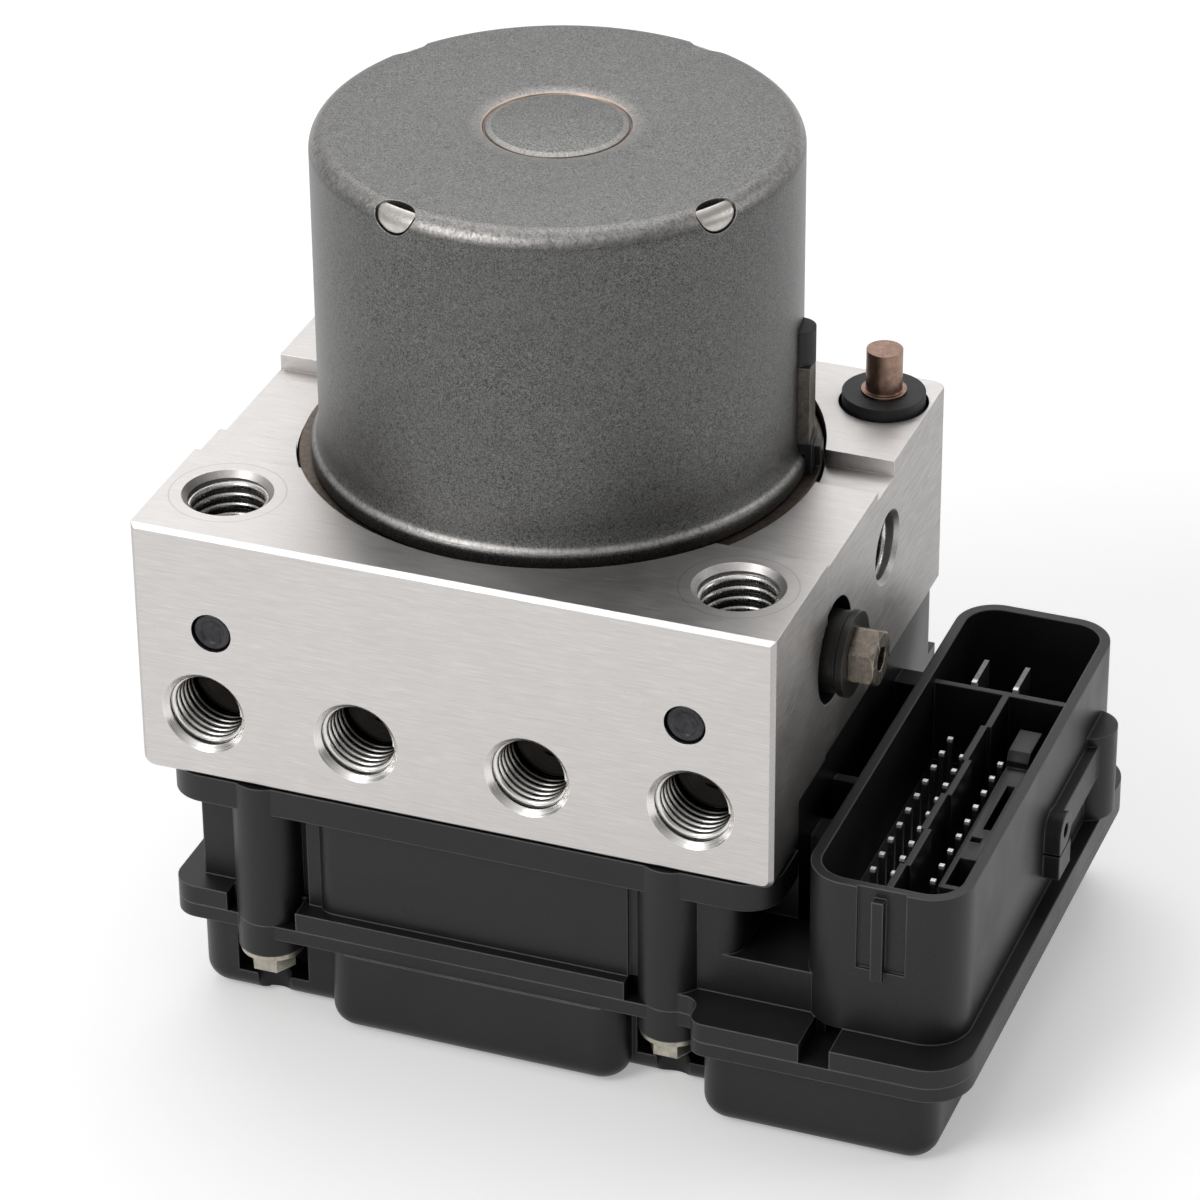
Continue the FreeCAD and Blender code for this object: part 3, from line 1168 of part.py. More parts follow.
def make_shell():
    """Upper shell with everything that is hollowed out of it and the small forms that stand on it."""
    body = make_housing()
    document.recompute()
    wall = "shell_wall"
    tower_edge = "tower_back - tower_radius - " + wall
    tower_span = "tower_side - tower_radius - " + wall
    inside_top = UNDERSIDE + " - deck_height"
    low_top = FLANGE_TOP + " - " + wall
    front_edge = DECK_FRONT + " + " + wall
    tools = [
        box("chamber_front", ("-shell_left + " + wall, "ledge_left - " + wall),
            (front_edge, "-pocket_back + " + wall), (FLANGE_MID, inside_top)),
        box("chamber_main", ("-shell_left + " + wall, "shell_right - " + wall),
            ("-pocket_back + " + wall, tower_edge), (FLANGE_MID, inside_top)),
        box("chamber_rear", ("-(%s)" % tower_span, tower_span),
            (tower_edge, "shell_back - deck_set_back - " + wall), (FLANGE_MID, inside_top)),
        box("chamber_low", ("shell_right - " + wall, "shroud_right - " + wall),
            ("-pocket_back + " + wall, tower_edge), (FLANGE_MID, low_top)),
        shroud_room("chamber_socket", FLANGE_MID, "shroud_floor"),
        shroud_room("socket_form", "shroud_floor + shroud_floor_height", "shroud_top + over_cut"),
        box("shroud_panel", ("panel_start", "panel_end"),
            ("-shroud_front - over_cut", "-shroud_front + panel_depth"),
            ("panel_bottom", "shroud_top + over_cut")),
        box("flange_notch", ("notch_start", "notch_end"),
            ("-flange_front_right - over_cut", "-ledge_front"), (FLANGE_MID, FLANGE_TOP)),
    ]
    # The left tower has a gap on both sides, the right one runs into the flange on its right
    radius = "tower_radius + tower_clear"
    spans = [("tower_left - (%s)" % radius, "tower_left + " + radius),
             ("tower_right - (%s)" % radius, "tower_right")]
    for index, ((x, y), span) in enumerate(zip(FRONT_TOWERS, spans), 1):
        gap = cut("tower_gap_%d" % index,
                  box("tower_gap_box_%d" % index, span, ("-flange_front_right - over_cut", y),
                      (FLANGE_MID, FLANGE_TOP)),
                  cylinder("tower_keep_%d" % index, "tower_radius", "upper_flange_height", x, y, FLANGE_MID))
        tools.append(gap)
    for index, (x, y) in enumerate(FRONT_TOWERS + REAR_TOWERS, 1):
        tools.append(cylinder("tower_bore_%d" % index, "screw_radius + screw_clear", "3 * block_bottom",
                              x, y))
    for index, (x, y) in enumerate(INLETS + OUTLETS, 1):
        tools.append(cylinder("deck_hole_%d" % index, "dome_radius + coil_gap", "3 * deck_height", x, y,
                              inside_top + " - deck_height"))
    seal = make_seal()
    tools.append(seal)
    node(seal, "ecu_seal")
    hollow = cut("housing_hollow", body, *tools)

    additions = [hollow]
    additions.append(box("cross_wall", ("shroud_left + shroud_wall / 2", "shroud_right - shroud_wall / 2"),
                         ("cross_wall_y - inner_wall / 2", "cross_wall_y + inner_wall / 2"),
                         ("shroud_floor", "inner_wall_top")))
    steps = int(number("divider_steps"))
    front = "(-shroud_front + shroud_wall / 2)"
    run = "((cross_wall_y + shroud_front - shroud_wall / 2) / divider_steps)"
    for index in range(steps):
        low = "divider_x - inner_wall / 2" + (" + divider_jog" if index % 2 else "")
        start = "%s + %d * %s" % (front, index, run)
        additions.append(box("divider_%d" % index, (low, low + " + inner_wall"),
                             (start, "%s + %s" % (start, run)), ("shroud_floor", "inner_wall_top")))
    additions.append(box("shroud_rib", ("rib_x - rib_width / 2", "rib_x + rib_width / 2"),
                         ("-shroud_front + panel_depth - rib_depth", "-shroud_front + shroud_wall / 2"),
                         ("rib_bottom", "rib_top")))
    reach = "lug_length + shroud_wall / 2"
    root, end = "shroud_right - shroud_wall / 2", "shroud_right + lug_length"
    lug = fuse("lug_blank", cylinder("lug_round", "lug_radius", reach, root, "lug_y", "lug_level", "X"),
               box("lug_foot", (root, end), ("lug_y - lug_radius", "lug_y"),
                   ("lug_level - lug_radius", "lug_level")))
    bore = cylinder("lug_bore", "lug_hole", "lug_length", "shroud_right + lug_web", "lug_y", "lug_level", "X")
    additions.append(cut("lug", lug, bore))
    low = "lug_level - lug_radius - block_lug_drop"
    additions.append(box("block_lug", (root, end), ("lug_y - lug_radius", "lug_y + lug_radius"),
                         (low + " - block_lug_size", low)))
    high = "lug_level + lug_radius - block_lug_drop"
    additions.append(box("lug_rail", (root, "shroud_right + rail_width"), ("lug_y", "ear_lug_y"),
                         (high + " - rail_height", high)))
    bridge = ("shell_right - shell_wall / 2", "shroud_left + shroud_wall / 2")
    additions.append(box("shell_web", bridge, ("web_front", "web_front + web_length"),
                         (low_top, "web_top")))
    additions.append(box("shell_strut", bridge, ("strut_front", "strut_front + strut_length"),
                         (low_top, "strut_top")))
    additions.append(box("shell_tab", bridge, ("tab_front", "tab_front + tab_length"),
                         (low_top, "strut_top")))
    additions.append(box("panel_step_bar", ("-panel_left - panel_step", "-panel_left + shell_wall"),
                         ("-panel_front + panel_step_inset", DECK_FRONT), (low_top, PLATE_BOTTOM)))
    node(fuse("housing_solid", *additions), "ecu_housing")


def make_cover():
    """Lower shell of the control unit: thin flange with screw ears and a tray with three bulges."""
    body = new_body("cover_form")
    tray = new_sketch(body, "tray_plan", offset="0")
    outline = [
        ("-bulge_left_side", "-bulge_left_front"), ("-bulge_left_end", "-bulge_left_front"),
        ("-bulge_left_end", "-bulge_gap_front"), ("-bulge_middle_left", "-bulge_gap_front"),
        ("-bulge_middle_left", "-bulge_middle_front"), ("bulge_middle_right", "-bulge_middle_front"),
        ("bulge_middle_right", "-bulge_gap_front"), ("bulge_right_start", "-bulge_gap_front"),
        ("bulge_right_start", "-bulge_right_front"), ("bulge_right_side", "-bulge_right_front"),
        ("bulge_right_side", "bulge_back"), ("-bulge_left_side", "bulge_back"),
    ]
    polygon(tray, outline)
    tub = pad(body, "tray", tray, "lower_flange_bottom")
    large = [outline[0], outline[4], outline[5], outline[8], outline[9], outline[10], outline[11]]
    rounded = dress(body, "Fillet", "tray_corners", tub, upright_edges(tub, large), "bulge_corner")
    dress(body, "Fillet", "tray_bottom", rounded, level_edges(rounded, "0"), "bulge_edge")

    flange = new_sketch(body, "cover_flange_plan", offset="lower_flange_bottom")
    polygon(flange, FLANGE_OUTLINE)
    layer = pad(body, "cover_flange", flange, "lower_flange_height")
    layer = dress(body, "Fillet", "cover_corner_large", layer, upright_edges(layer, FLANGE_OUTLINE[5:7]),
                  "flange_corner")
    layer = dress(body, "Fillet", "cover_corner_small", layer,
                  upright_edges(layer, FLANGE_OUTLINE[:1] + FLANGE_OUTLINE[7:]), "flange_small_corner")
    dress(body, "Fillet", "cover_step_blend", layer, upright_edges(layer, FLANGE_OUTLINE[3:5]),
          "flange_blend")
    ears = new_sketch(body, "ears_plan", offset="ear_bottom")
    circles(ears, "ear_radius", FRONT_TOWERS)
    pad(body, "ears", ears, FLANGE_MID + " - ear_bottom")
    document.recompute()

    wall = "cover_wall"
    well = "(ear_radius + well_clear + cover_wall)"
    span, deep = "tower_side - " + well, ("cover_floor", FLANGE_MID)
    tools = [
        box("tray_room", ("-bulge_left_side + " + wall, "bulge_right_side - " + wall),
            ("-room_front", "tower_back - " + well), deep),
        box("tray_room_rear", ("-(%s)" % span, span), ("0", "bulge_back - " + wall), deep),
        box("tray_room_socket", ("tower_side + " + well, "bulge_right_side - " + wall),
            ("0", "bulge_back - " + wall), deep),
        box("bulge_room_middle", ("-bulge_middle_left + " + wall, "bulge_middle_right - " + wall),
            ("-bulge_middle_front + " + wall, "0"), ("cover_floor", "lower_flange_bottom")),
        box("bulge_room_right", ("bulge_right_start + " + wall, "bulge_right_side - " + wall),
            ("-bulge_right_front + " + wall, "0"), ("cover_floor", "lower_flange_bottom")),
    ]
    for index, (x, y) in enumerate(FRONT_TOWERS, 1):
        tools.append(cylinder("front_well_%d" % index, "ear_radius + ear_clear",
                              "ear_bottom - front_well_bottom", x, y, "front_well_bottom"))
    for index, (x, y) in enumerate(REAR_TOWERS, 1):
        tools.append(cylinder("rear_well_%d" % index, "ear_radius + well_clear", "ear_bottom + cover_floor",
                              x, y, "-cover_floor"))
    for index, (x, y) in enumerate(FRONT_TOWERS + REAR_TOWERS, 1):
        tools.append(cylinder("ear_bore_%d" % index, "screw_radius + screw_clear", "block_bottom", x, y))
    tub = cut("cover_hollow", body, *tools)
    posts = []
    inset = "2 * post_radius"
    for index, (x, y) in enumerate([("-board_left + " + inset, "-board_front + " + inset),
                                    ("board_right - " + inset, "-board_front + " + inset),
                                    ("-board_left + " + inset, "board_back - " + inset),
                                    ("board_right - " + inset, "board_back - " + inset)], 1):
        posts.append(cylinder("post_%d" % index, "post_radius", "board_bottom - cover_floor / 2", x, y,
                              "cover_floor / 2"))
    node(fuse("cover_solid", tub, *posts), "ecu_cover")


def make_electronics():
    """Circuit board, terminals with their tails, power blades and the guard strip of the outer row."""
    node(box("board", ("-board_left", "board_right"), ("-board_front", "board_back"),
             ("board_bottom", "board_bottom + board_height")), "circuit_board")
    top = "board_bottom + board_height"
    floor = "shroud_floor + shroud_floor_height"
    rows = (("one", 10), ("two", 9), ("three", 9))
    half = "terminal_width / 2"
    for name, count in rows:
        x = "row_%s_x" % name
        pins = []
        for index in range(count):
            y = "terminal_front + %d * terminal_pitch" % index
            plan = (x + " - " + half, x + " + " + half), (y + " - " + half, y + " + " + half)
            pins.append(box("pin_%s_%d" % (name, index), *plan, (floor, "terminal_top")))
            pins.append(box("tail_%s_%d" % (name, index), *plan, (top, "shroud_floor")))
        node(group("terminals_" + name, pins), "terminal_row_" + name)
    blades = []
    for name in ("one", "two"):
        x = "blade_%s_x" % name
        blades.append(box("blade_" + name, (x + " - " + half, x + " + " + half),
                          ("blade_y - blade_width / 2", "blade_y + blade_width / 2"),
                          (floor, "blade_top")))
    node(group("blades", blades), "power_blades")
    strip = box("guard_bar", ("guard_x", "guard_x + guard_width"), ("guard_front", "guard_back"),
                (floor, "guard_top"))
    windows = []
    run = "(guard_back - guard_front) / guard_windows"
    for index in range(int(number("guard_windows"))):
        start = "guard_front + %d * %s" % (index, run)
        near, far = start + " + guard_post", "%s + %s - guard_post" % (start, run)
        windows.append(box("guard_window_%d" % index, ("guard_x - guard_width", "guard_x + 2 * guard_width"),
                           (near, far), ("guard_sill", "guard_top - guard_bar")))
    node(cut("guard_solid", strip, *windows), "terminal_guard")


def make_seal():
    """Flat rubber seal that lies in the deck under the block."""
    edge = DECK_FRONT + " + seal_inset"
    low, high = UNDERSIDE + " - seal_height", UNDERSIDE
    outer = box("seal_outer", ("-shell_left + seal_inset", "shell_right - seal_inset"),
                (edge, "tower_back - tower_radius"), (low, high))
    rim = "seal_inset + seal_width"
    inner = box("seal_inner", ("-shell_left + " + rim, "shell_right - (%s)" % rim),
                (edge + " + seal_width", "tower_back - tower_radius - seal_width"), (low, high))
    return cut("seal_solid", outer, inner)


def make_screws():
    """Four hexagon screws with washers that hold the control unit to the block."""
    screws, washers = [], []
    places = [(x, y, "block_bottom") for x, y in FRONT_TOWERS]
    places += [(x, y, UNDERSIDE) for x, y in REAR_TOWERS]
    under = "ear_bottom - washer_height"
    for index, (x, y, seat) in enumerate(places, 1):
        shank = cylinder("screw_shank_%d" % index, "screw_radius", "%s + screw_bite - (%s)" % (seat, under),
                         x, y, under)
        head = prism("screw_head_%d" % index, 6, "screw_head_width", "screw_head_height", x, y,
                     under + " - screw_head_height")
        screws.append(fuse("screw_%d" % index, shank, head))
        washers.append(tube("washer_%d" % index, "washer_radius", "screw_radius", "washer_height",
                            x, y, under))
    node(group("screws", screws), "housing_screws")
    node(group("washers", washers), "screw_washers")


make_valve_block()
make_block_fittings()
make_motor_casing()
make_side_strip()
make_rotor()
make_stator()
make_pump()
make_accumulators()
make_valves()
make_shell()
make_cover()
make_electronics()
make_screws()
document.recompute()

# Every object has to be sound before a file is written
for item in document.Objects:
    if "Invalid" in item.State or "Error" in item.State:
        raise ValueError("%s did not build: %s" % (item.Name, item.State))
os.makedirs("parts", exist_ok=True)
for item in NODES:
    if item.Shape.isNull() or not item.Shape.isValid():
        raise ValueError(item.Label + " has no valid shape")
    item.Shape.exportStep("parts/%s.step" % item.Label)
print(len(NODES), "sub-parts written")
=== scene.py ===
# %% [markdown]
# # A brake module, from bare solids to finished surfaces
#
# The object is the hydraulic unit of a car's anti-lock brakes: a milled aluminium valve block, a round
# pump motor on top of it, and a black control unit below it. Its solids come ready made from the packed
# model. This lesson gives them their finish, adds the parts that are too fine for the solids, and lights
# them. Everything is in metres and in the model's own frame.

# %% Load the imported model
import json
import math

import bmesh
import bpy
from mathutils import Matrix, Vector


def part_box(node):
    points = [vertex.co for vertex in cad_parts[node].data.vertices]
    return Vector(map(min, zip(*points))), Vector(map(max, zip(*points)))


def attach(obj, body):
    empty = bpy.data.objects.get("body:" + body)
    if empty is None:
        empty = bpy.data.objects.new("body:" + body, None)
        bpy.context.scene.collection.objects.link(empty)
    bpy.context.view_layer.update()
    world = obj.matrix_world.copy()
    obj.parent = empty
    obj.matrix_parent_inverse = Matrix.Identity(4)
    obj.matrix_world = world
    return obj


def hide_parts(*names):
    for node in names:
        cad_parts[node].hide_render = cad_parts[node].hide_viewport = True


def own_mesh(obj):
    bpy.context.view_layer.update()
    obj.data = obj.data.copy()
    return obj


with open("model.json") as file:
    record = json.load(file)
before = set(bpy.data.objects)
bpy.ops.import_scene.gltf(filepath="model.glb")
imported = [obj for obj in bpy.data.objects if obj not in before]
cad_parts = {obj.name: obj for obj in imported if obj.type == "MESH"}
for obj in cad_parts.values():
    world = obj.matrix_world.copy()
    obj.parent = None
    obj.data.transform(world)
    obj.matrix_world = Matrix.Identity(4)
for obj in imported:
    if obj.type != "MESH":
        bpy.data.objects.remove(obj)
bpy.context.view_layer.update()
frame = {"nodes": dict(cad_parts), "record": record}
nodes = frame["nodes"]
mounts = {mount["name"]: mount for mount in frame["record"]["mounts"]}
MM = 0.001
print("loaded", len(nodes), "solids and", len(mounts), "mounts")

# %% [markdown]
# ## The camera
#
# A product picture like this is taken from far away with a long lens, so that upright edges stay nearly
# upright. The three angles turn the camera round the object, and the lens is given for the default 36 mm
# sensor. The camera looks along its own minus Z, so its matrix is made of its three axes.

# %% Camera
AZIMUTH, ELEVATION, ROLL = (math.radians(angle) for angle in (20.891, 30.873, -0.508))
EYE = Vector((0.25211, -0.64482, 0.46776))
LENS = 157.87
NEAREST = 0.05

back = Vector((math.sin(AZIMUTH) * math.cos(ELEVATION), -math.cos(AZIMUTH) * math.cos(ELEVATION),
               math.sin(ELEVATION)))
level = Vector((math.cos(AZIMUTH), math.sin(AZIMUTH), 0))
upright = back.cross(level)
side = math.cos(ROLL) * level + math.sin(ROLL) * upright
top = math.cos(ROLL) * upright - math.sin(ROLL) * level

camera = bpy.data.objects.new("camera", bpy.data.cameras.new("camera"))
camera.data.lens = LENS
camera.data.clip_start = NEAREST
camera.matrix_world = Matrix.Translation(EYE) @ Matrix((side, top, back)).transposed().to_4x4()
bpy.context.collection.objects.link(camera)
scene = bpy.context.scene
scene.camera = camera
scene.view_settings.view_transform = "Standard"
print("camera at", tuple(round(value, 3) for value in EYE))

# %% [markdown]
# ## Floor, lamps and sky
#
# The object stands on white paper that has no visible end. The floor is a large pale sheet, and what the
# camera sees beyond it is a white world. Paper and world look white to the camera and in reflections,
# yet they light the object less than they show: the Light Path node tells the two kinds of ray apart.
# The world is darker on the right, so that metal has something dark to mirror there. Soft lamps do the
# rest: a key lamp over the left front, one high up at the rear and a weak one from the right.

# %% Helpers for the studio
def link_object(name, data):
    """Put a data block into the scene as an object at the origin."""
    piece = bpy.data.objects.new(name, data)
    bpy.context.collection.objects.link(piece)
    return piece


def mesh_from(shape, name):
    """Write a shape into a new mesh and free it."""
    mesh = bpy.data.meshes.new(name)
    shape.to_mesh(mesh)
    shape.free()
    return mesh


def add_node(tree, kind, inputs=None, **options):
    """Add a node, set its options, and fill its sockets with values or with other nodes' outputs."""
    node = tree.nodes.new(kind)
    for option, value in options.items():
        setattr(node, option, value)
    for socket, value in (inputs or {}).items():
        if isinstance(value, bpy.types.NodeSocket):
            tree.links.new(value, node.inputs[socket])
        else:
            node.inputs[socket].default_value = value
    return node


def background_ray(tree):
    """1 for rays that show the background, straight or mirrored, and 0 for rays that carry light."""
    path = add_node(tree, "ShaderNodeLightPath")
    shows = path.outputs["Is Camera Ray"]
    for ray in ("Is Glossy Ray", "Is Transmission Ray"):
        shows = add_node(tree, "ShaderNodeMath", {0: shows, 1: path.outputs[ray]},
                         operation="MAXIMUM").outputs[0]
    return shows


# %% Floor
FLOOR_SIZE = 6.0
FLOOR_DROP = 0.0003
FLOOR_WHITE = 0.86
FLOOR_LIFT = 0.30
PAPER_ROUGHNESS, PAPER_GLOSS = 0.9, 0.1

sheet = bmesh.new()
bmesh.ops.create_grid(sheet, x_segments=1, y_segments=1, size=FLOOR_SIZE / 2)
floor_mesh = mesh_from(sheet, "floor")
floor_mesh.transform(Matrix.Translation((0, 0, -FLOOR_DROP)))
floor = link_object("floor", floor_mesh)

paper = bpy.data.materials.new("floor_paper")
paper.use_nodes = True
paper_tree = paper.node_tree
paper_shader = paper_tree.nodes["Principled BSDF"]
for socket, value in {"Base Color": (FLOOR_WHITE, FLOOR_WHITE, FLOOR_WHITE, 1),
                      "Roughness": PAPER_ROUGHNESS, "Specular IOR Level": PAPER_GLOSS,
                      "Emission Color": (1, 1, 1, 1)}.items():
    paper_shader.inputs[socket].default_value = value
lift = add_node(paper_tree, "ShaderNodeMath", {0: background_ray(paper_tree), 1: FLOOR_LIFT},
                operation="MULTIPLY")
paper_tree.links.new(lift.outputs[0], paper_shader.inputs["Emission Strength"])
floor_mesh.materials.append(paper)
print("floor of", FLOOR_SIZE, "m")

# %% World
SKY_LIGHT = 0.62
SKY_DARK_SIDE = 0.24
SKY_WHITE = 1.0
SKY_MIRRORED_DARK = 0.28
SKY_LEFT_SHARE = 0.35
RIGHT_FADE = (0.0, 0.9)
LEFT_FADE = (-1.0, -0.55)

world = bpy.data.worlds.new("studio")
scene.world = world
world.use_nodes = True
sky = world.node_tree
sky.nodes.clear()
direction = add_node(sky, "ShaderNodeTexCoord").outputs["Generated"]
split = add_node(sky, "ShaderNodeSeparateXYZ", {0: direction})


def sky_fade(span, low, high):
    """A value that changes smoothly over a span of the sky, from left to right."""
    return add_node(sky, "ShaderNodeMapRange", {
        "Value": split.outputs["X"], "From Min": span[0], "From Max": span[1], "To Min": low,
        "To Max": high}, interpolation_type="SMOOTHSTEP").outputs["Result"]


def sky_shader(bright, dark, left_share=1.0):
    """A background that is darker on the right, and on the far left by a share."""
    both = add_node(sky, "ShaderNodeMath", {
        0: sky_fade(RIGHT_FADE, bright, dark), 1: sky_fade(LEFT_FADE, left_share, 1.0)},
        operation="MULTIPLY")
    return add_node(sky, "ShaderNodeBackground", {"Strength": both.outputs[0]}).outputs[0]


def sky_choice(factor, first, second):
    """The first shader where the factor is 0, the second where it is 1."""
    return add_node(sky, "ShaderNodeMixShader", {0: factor, 1: first, 2: second}).outputs[0]


mirrored = sky_choice(background_ray(sky), sky_shader(SKY_LIGHT, SKY_DARK_SIDE),
                      sky_shader(SKY_WHITE, SKY_MIRRORED_DARK, SKY_LEFT_SHARE))
straight = add_node(sky, "ShaderNodeLightPath").outputs["Is Camera Ray"]
seen = sky_choice(straight, mirrored, sky_shader(SKY_WHITE, SKY_WHITE))
add_node(sky, "ShaderNodeOutputWorld", {0: seen})
print("sky of", len(sky.nodes), "nodes")

# %% Lamps
LOOK_AT = Vector((0, 0, 0.07))


def soft_lamp(name, place, size, power):
    """A square area lamp that faces the object: its place and size in metres, its power in watts."""
    lamp = bpy.data.lights.new(name, "AREA")
    lamp.size = size
    lamp.energy = power
    piece = link_object(name, lamp)
    piece.location = place
    piece.rotation_euler = (LOOK_AT - Vector(place)).to_track_quat("-Z", "Y").to_euler()


soft_lamp("key_lamp", (-0.66, -1.17, 1.15), 0.7, 9.5)
soft_lamp("top_lamp", (-0.35, 0.75, 1.45), 1.3, 9.5)
soft_lamp("rim_lamp", (1.1, 0.35, 0.55), 0.5, 1.4)

# %% [markdown]
# ## A small language for finishes
#
# Every surface here is procedural: its colour, gloss and grain are worked out from the place of a point
# on the object. The same few nodes come up in each material, so a helper class gives them short names.
# The edge mask deserves a note: the Bevel node returns the normal that a rounded edge would have, and
# where it differs from the flat face's normal, the point lies near an edge. That finds all edges without
# any image map: worn ones, and on the block and the plastic also edges that carry a painted highlight.
# The Ambient Occlusion node finds holes and gaps in a like way, and there the colour is darkened as
# painted shade.

# %% Finish helper
BEVEL_SAMPLES = 6
OPENNESS_SAMPLES = 4


class Finish:
    """A material in the making: each method adds a node and returns the output that matters."""

    def __init__(self, name, colour, roughness, metallic=0.0):
        self.material = bpy.data.materials.new(name)
        self.material.use_nodes = True
        self.tree = self.material.node_tree
        self.shader = self.tree.nodes["Principled BSDF"]
        self.set("Base Color", (*colour, 1))
        self.set("Roughness", roughness)
        self.set("Metallic", metallic)
        self.coordinates = self.node("TexCoord").outputs["Object"]

    def node(self, kind, inputs=None, **options):
        return add_node(self.tree, "ShaderNode" + kind, inputs, **options)

    def set(self, socket, value):
        self.shader.inputs[socket].default_value = value

    def join(self, output, socket):
        """Feed an output into a socket of the shader."""
        self.tree.links.new(output, self.shader.inputs[socket])

    def mapped(self, scale, turn=(0, 0, 0)):
        """The coordinates, turned and then stretched."""
        inputs = {"Vector": self.coordinates, "Scale": scale, "Rotation": turn}
        return self.node("Mapping", inputs).outputs["Vector"]

    def noise(self, vector, scale, detail=2.0, distortion=0.0):
        inputs = {"Vector": vector, "Scale": scale, "Detail": detail, "Distortion": distortion}
        return self.node("TexNoise", inputs).outputs["Fac"]

    def remap(self, value, low, high, to_low=0.0, to_high=1.0):
        """Stretch the range from low to high to a new one, and hold the ends."""
        inputs = {"Value": value, "From Min": low, "From Max": high, "To Min": to_low, "To Max": to_high}
        return self.node("MapRange", inputs).outputs["Result"]

    def math(self, operation, *values):
        return self.node("Math", dict(enumerate(values)), operation=operation).outputs[0]

    def times(self, first, second):
        return self.math("MULTIPLY", first, second)

    def apart(self, first, second):
        """How far two values lie apart."""
        return self.math("ABSOLUTE", self.math("SUBTRACT", first, second))

    def vector(self, operation, *values):
        node = self.node("VectorMath", dict(enumerate(values)), operation=operation)
        return node.outputs["Value" if operation in ("LENGTH", "DOT_PRODUCT") else "Vector"]

    def mix(self, factor, first, second):
        """Blend two colours. Sockets 6 and 7 are A and B of the colour kind."""
        first, second = (value if isinstance(value, bpy.types.NodeSocket) else (*value, 1)
                         for value in (first, second))
        return self.node("Mix", {"Factor": factor, 6: first, 7: second}, data_type="RGBA").outputs[2]

    def bump(self, height, distance, normal):
        inputs = {"Height": height, "Distance": distance, "Strength": 1.0, "Normal": normal}
        return self.node("Bump", inputs).outputs["Normal"]

    def soft_edges(self, radius):
        """The normal of the surface with its edges rounded."""
        return self.node("Bevel", {"Radius": radius}, samples=BEVEL_SAMPLES).outputs["Normal"]

    def edge_mask(self, radius, low=0.02, high=0.25):
        """1 on edges, 0 on open faces."""
        face = self.node("NewGeometry").outputs["True Normal"]
        near = self.vector("DOT_PRODUCT", self.soft_edges(radius), face)
        return self.remap(self.math("SUBTRACT", 1.0, near), low, high)

    def openness(self, reach, low, high):
        """1 where a point sees the room, 0 deep in a hole or a gap."""
        node = self.node("AmbientOcclusion", {"Distance": reach}, samples=OPENNESS_SAMPLES)
        return self.remap(node.outputs["AO"], low, high)

    def painted_shade_inside(self, shade, amount, reach=0.006, low=0.05, high=0.45):
        """Painted shade: darken a colour where the surface lies in a hole or a gap."""
        share = self.remap(self.openness(reach, low, high), 0, 1, amount, 1)
        return self.node("VectorMath", {0: shade, "Scale": share}, operation="SCALE").outputs["Vector"]

    def ring_round(self, centre, radius, width):
        """1 on a circle about an upright axis, fading to 0 within a width."""
        flat = self.vector("MULTIPLY", self.vector("SUBTRACT", self.coordinates, centre), (1, 1, 0))
        return self.remap(self.apart(self.vector("LENGTH", flat), radius), 0.3 * width, width, 1.0, 0.0)

    def face_towards(self, axis):
        """How far the face points along an axis, from 0 to 1 either way."""
        face = self.node("NewGeometry").outputs["True Normal"]
        return self.math("ABSOLUTE", self.vector("DOT_PRODUCT", face, axis))


def tinted(colour, share):
    """A colour made darker or lighter by a share."""
    return tuple(min(1.0, share * value) for value in colour)


def paint(material, *names):
    """Give solids of the model one material."""
    for name in names:
        mesh = nodes[name].data
        mesh.materials.clear()
        mesh.materials.append(material)


# %% [markdown]
# ## Milled aluminium
#
# The block is sawn from extruded bar and milled on all faces. The cutter leaves fine parallel lines:
# along the length on the front and top, and steeper and coarser on the side faces. The side faces are
# also given a darker colour: partly their coarser lines, partly painted shade. Each set of lines is a
# noise stretched in one direction. The lines change the roughness and a small bump more than the colour,
# because that is what makes a milled face shimmer. The broken edges are brighter than the faces, partly
# bare worn metal and partly a painted highlight, and have small nicks. A faint ring round each upper
# port shows where its seat was faced, and what lies deep in a hole is painted darker, as painted shade.
# For that the Ambient Occlusion node tells how open a point lies.

# %% Aluminium of the block
ALUMINIUM = (0.69, 0.665, 0.65)
BRIGHT_EDGE = (0.95, 0.94, 0.92)
SPOTFACE_RADIUS = 0.00875
SPOTFACE_LINE = 0.00014
STEEP_LINES = math.radians(62)
WORN_EDGE = 0.00018
BROKEN_EDGE = 0.00014


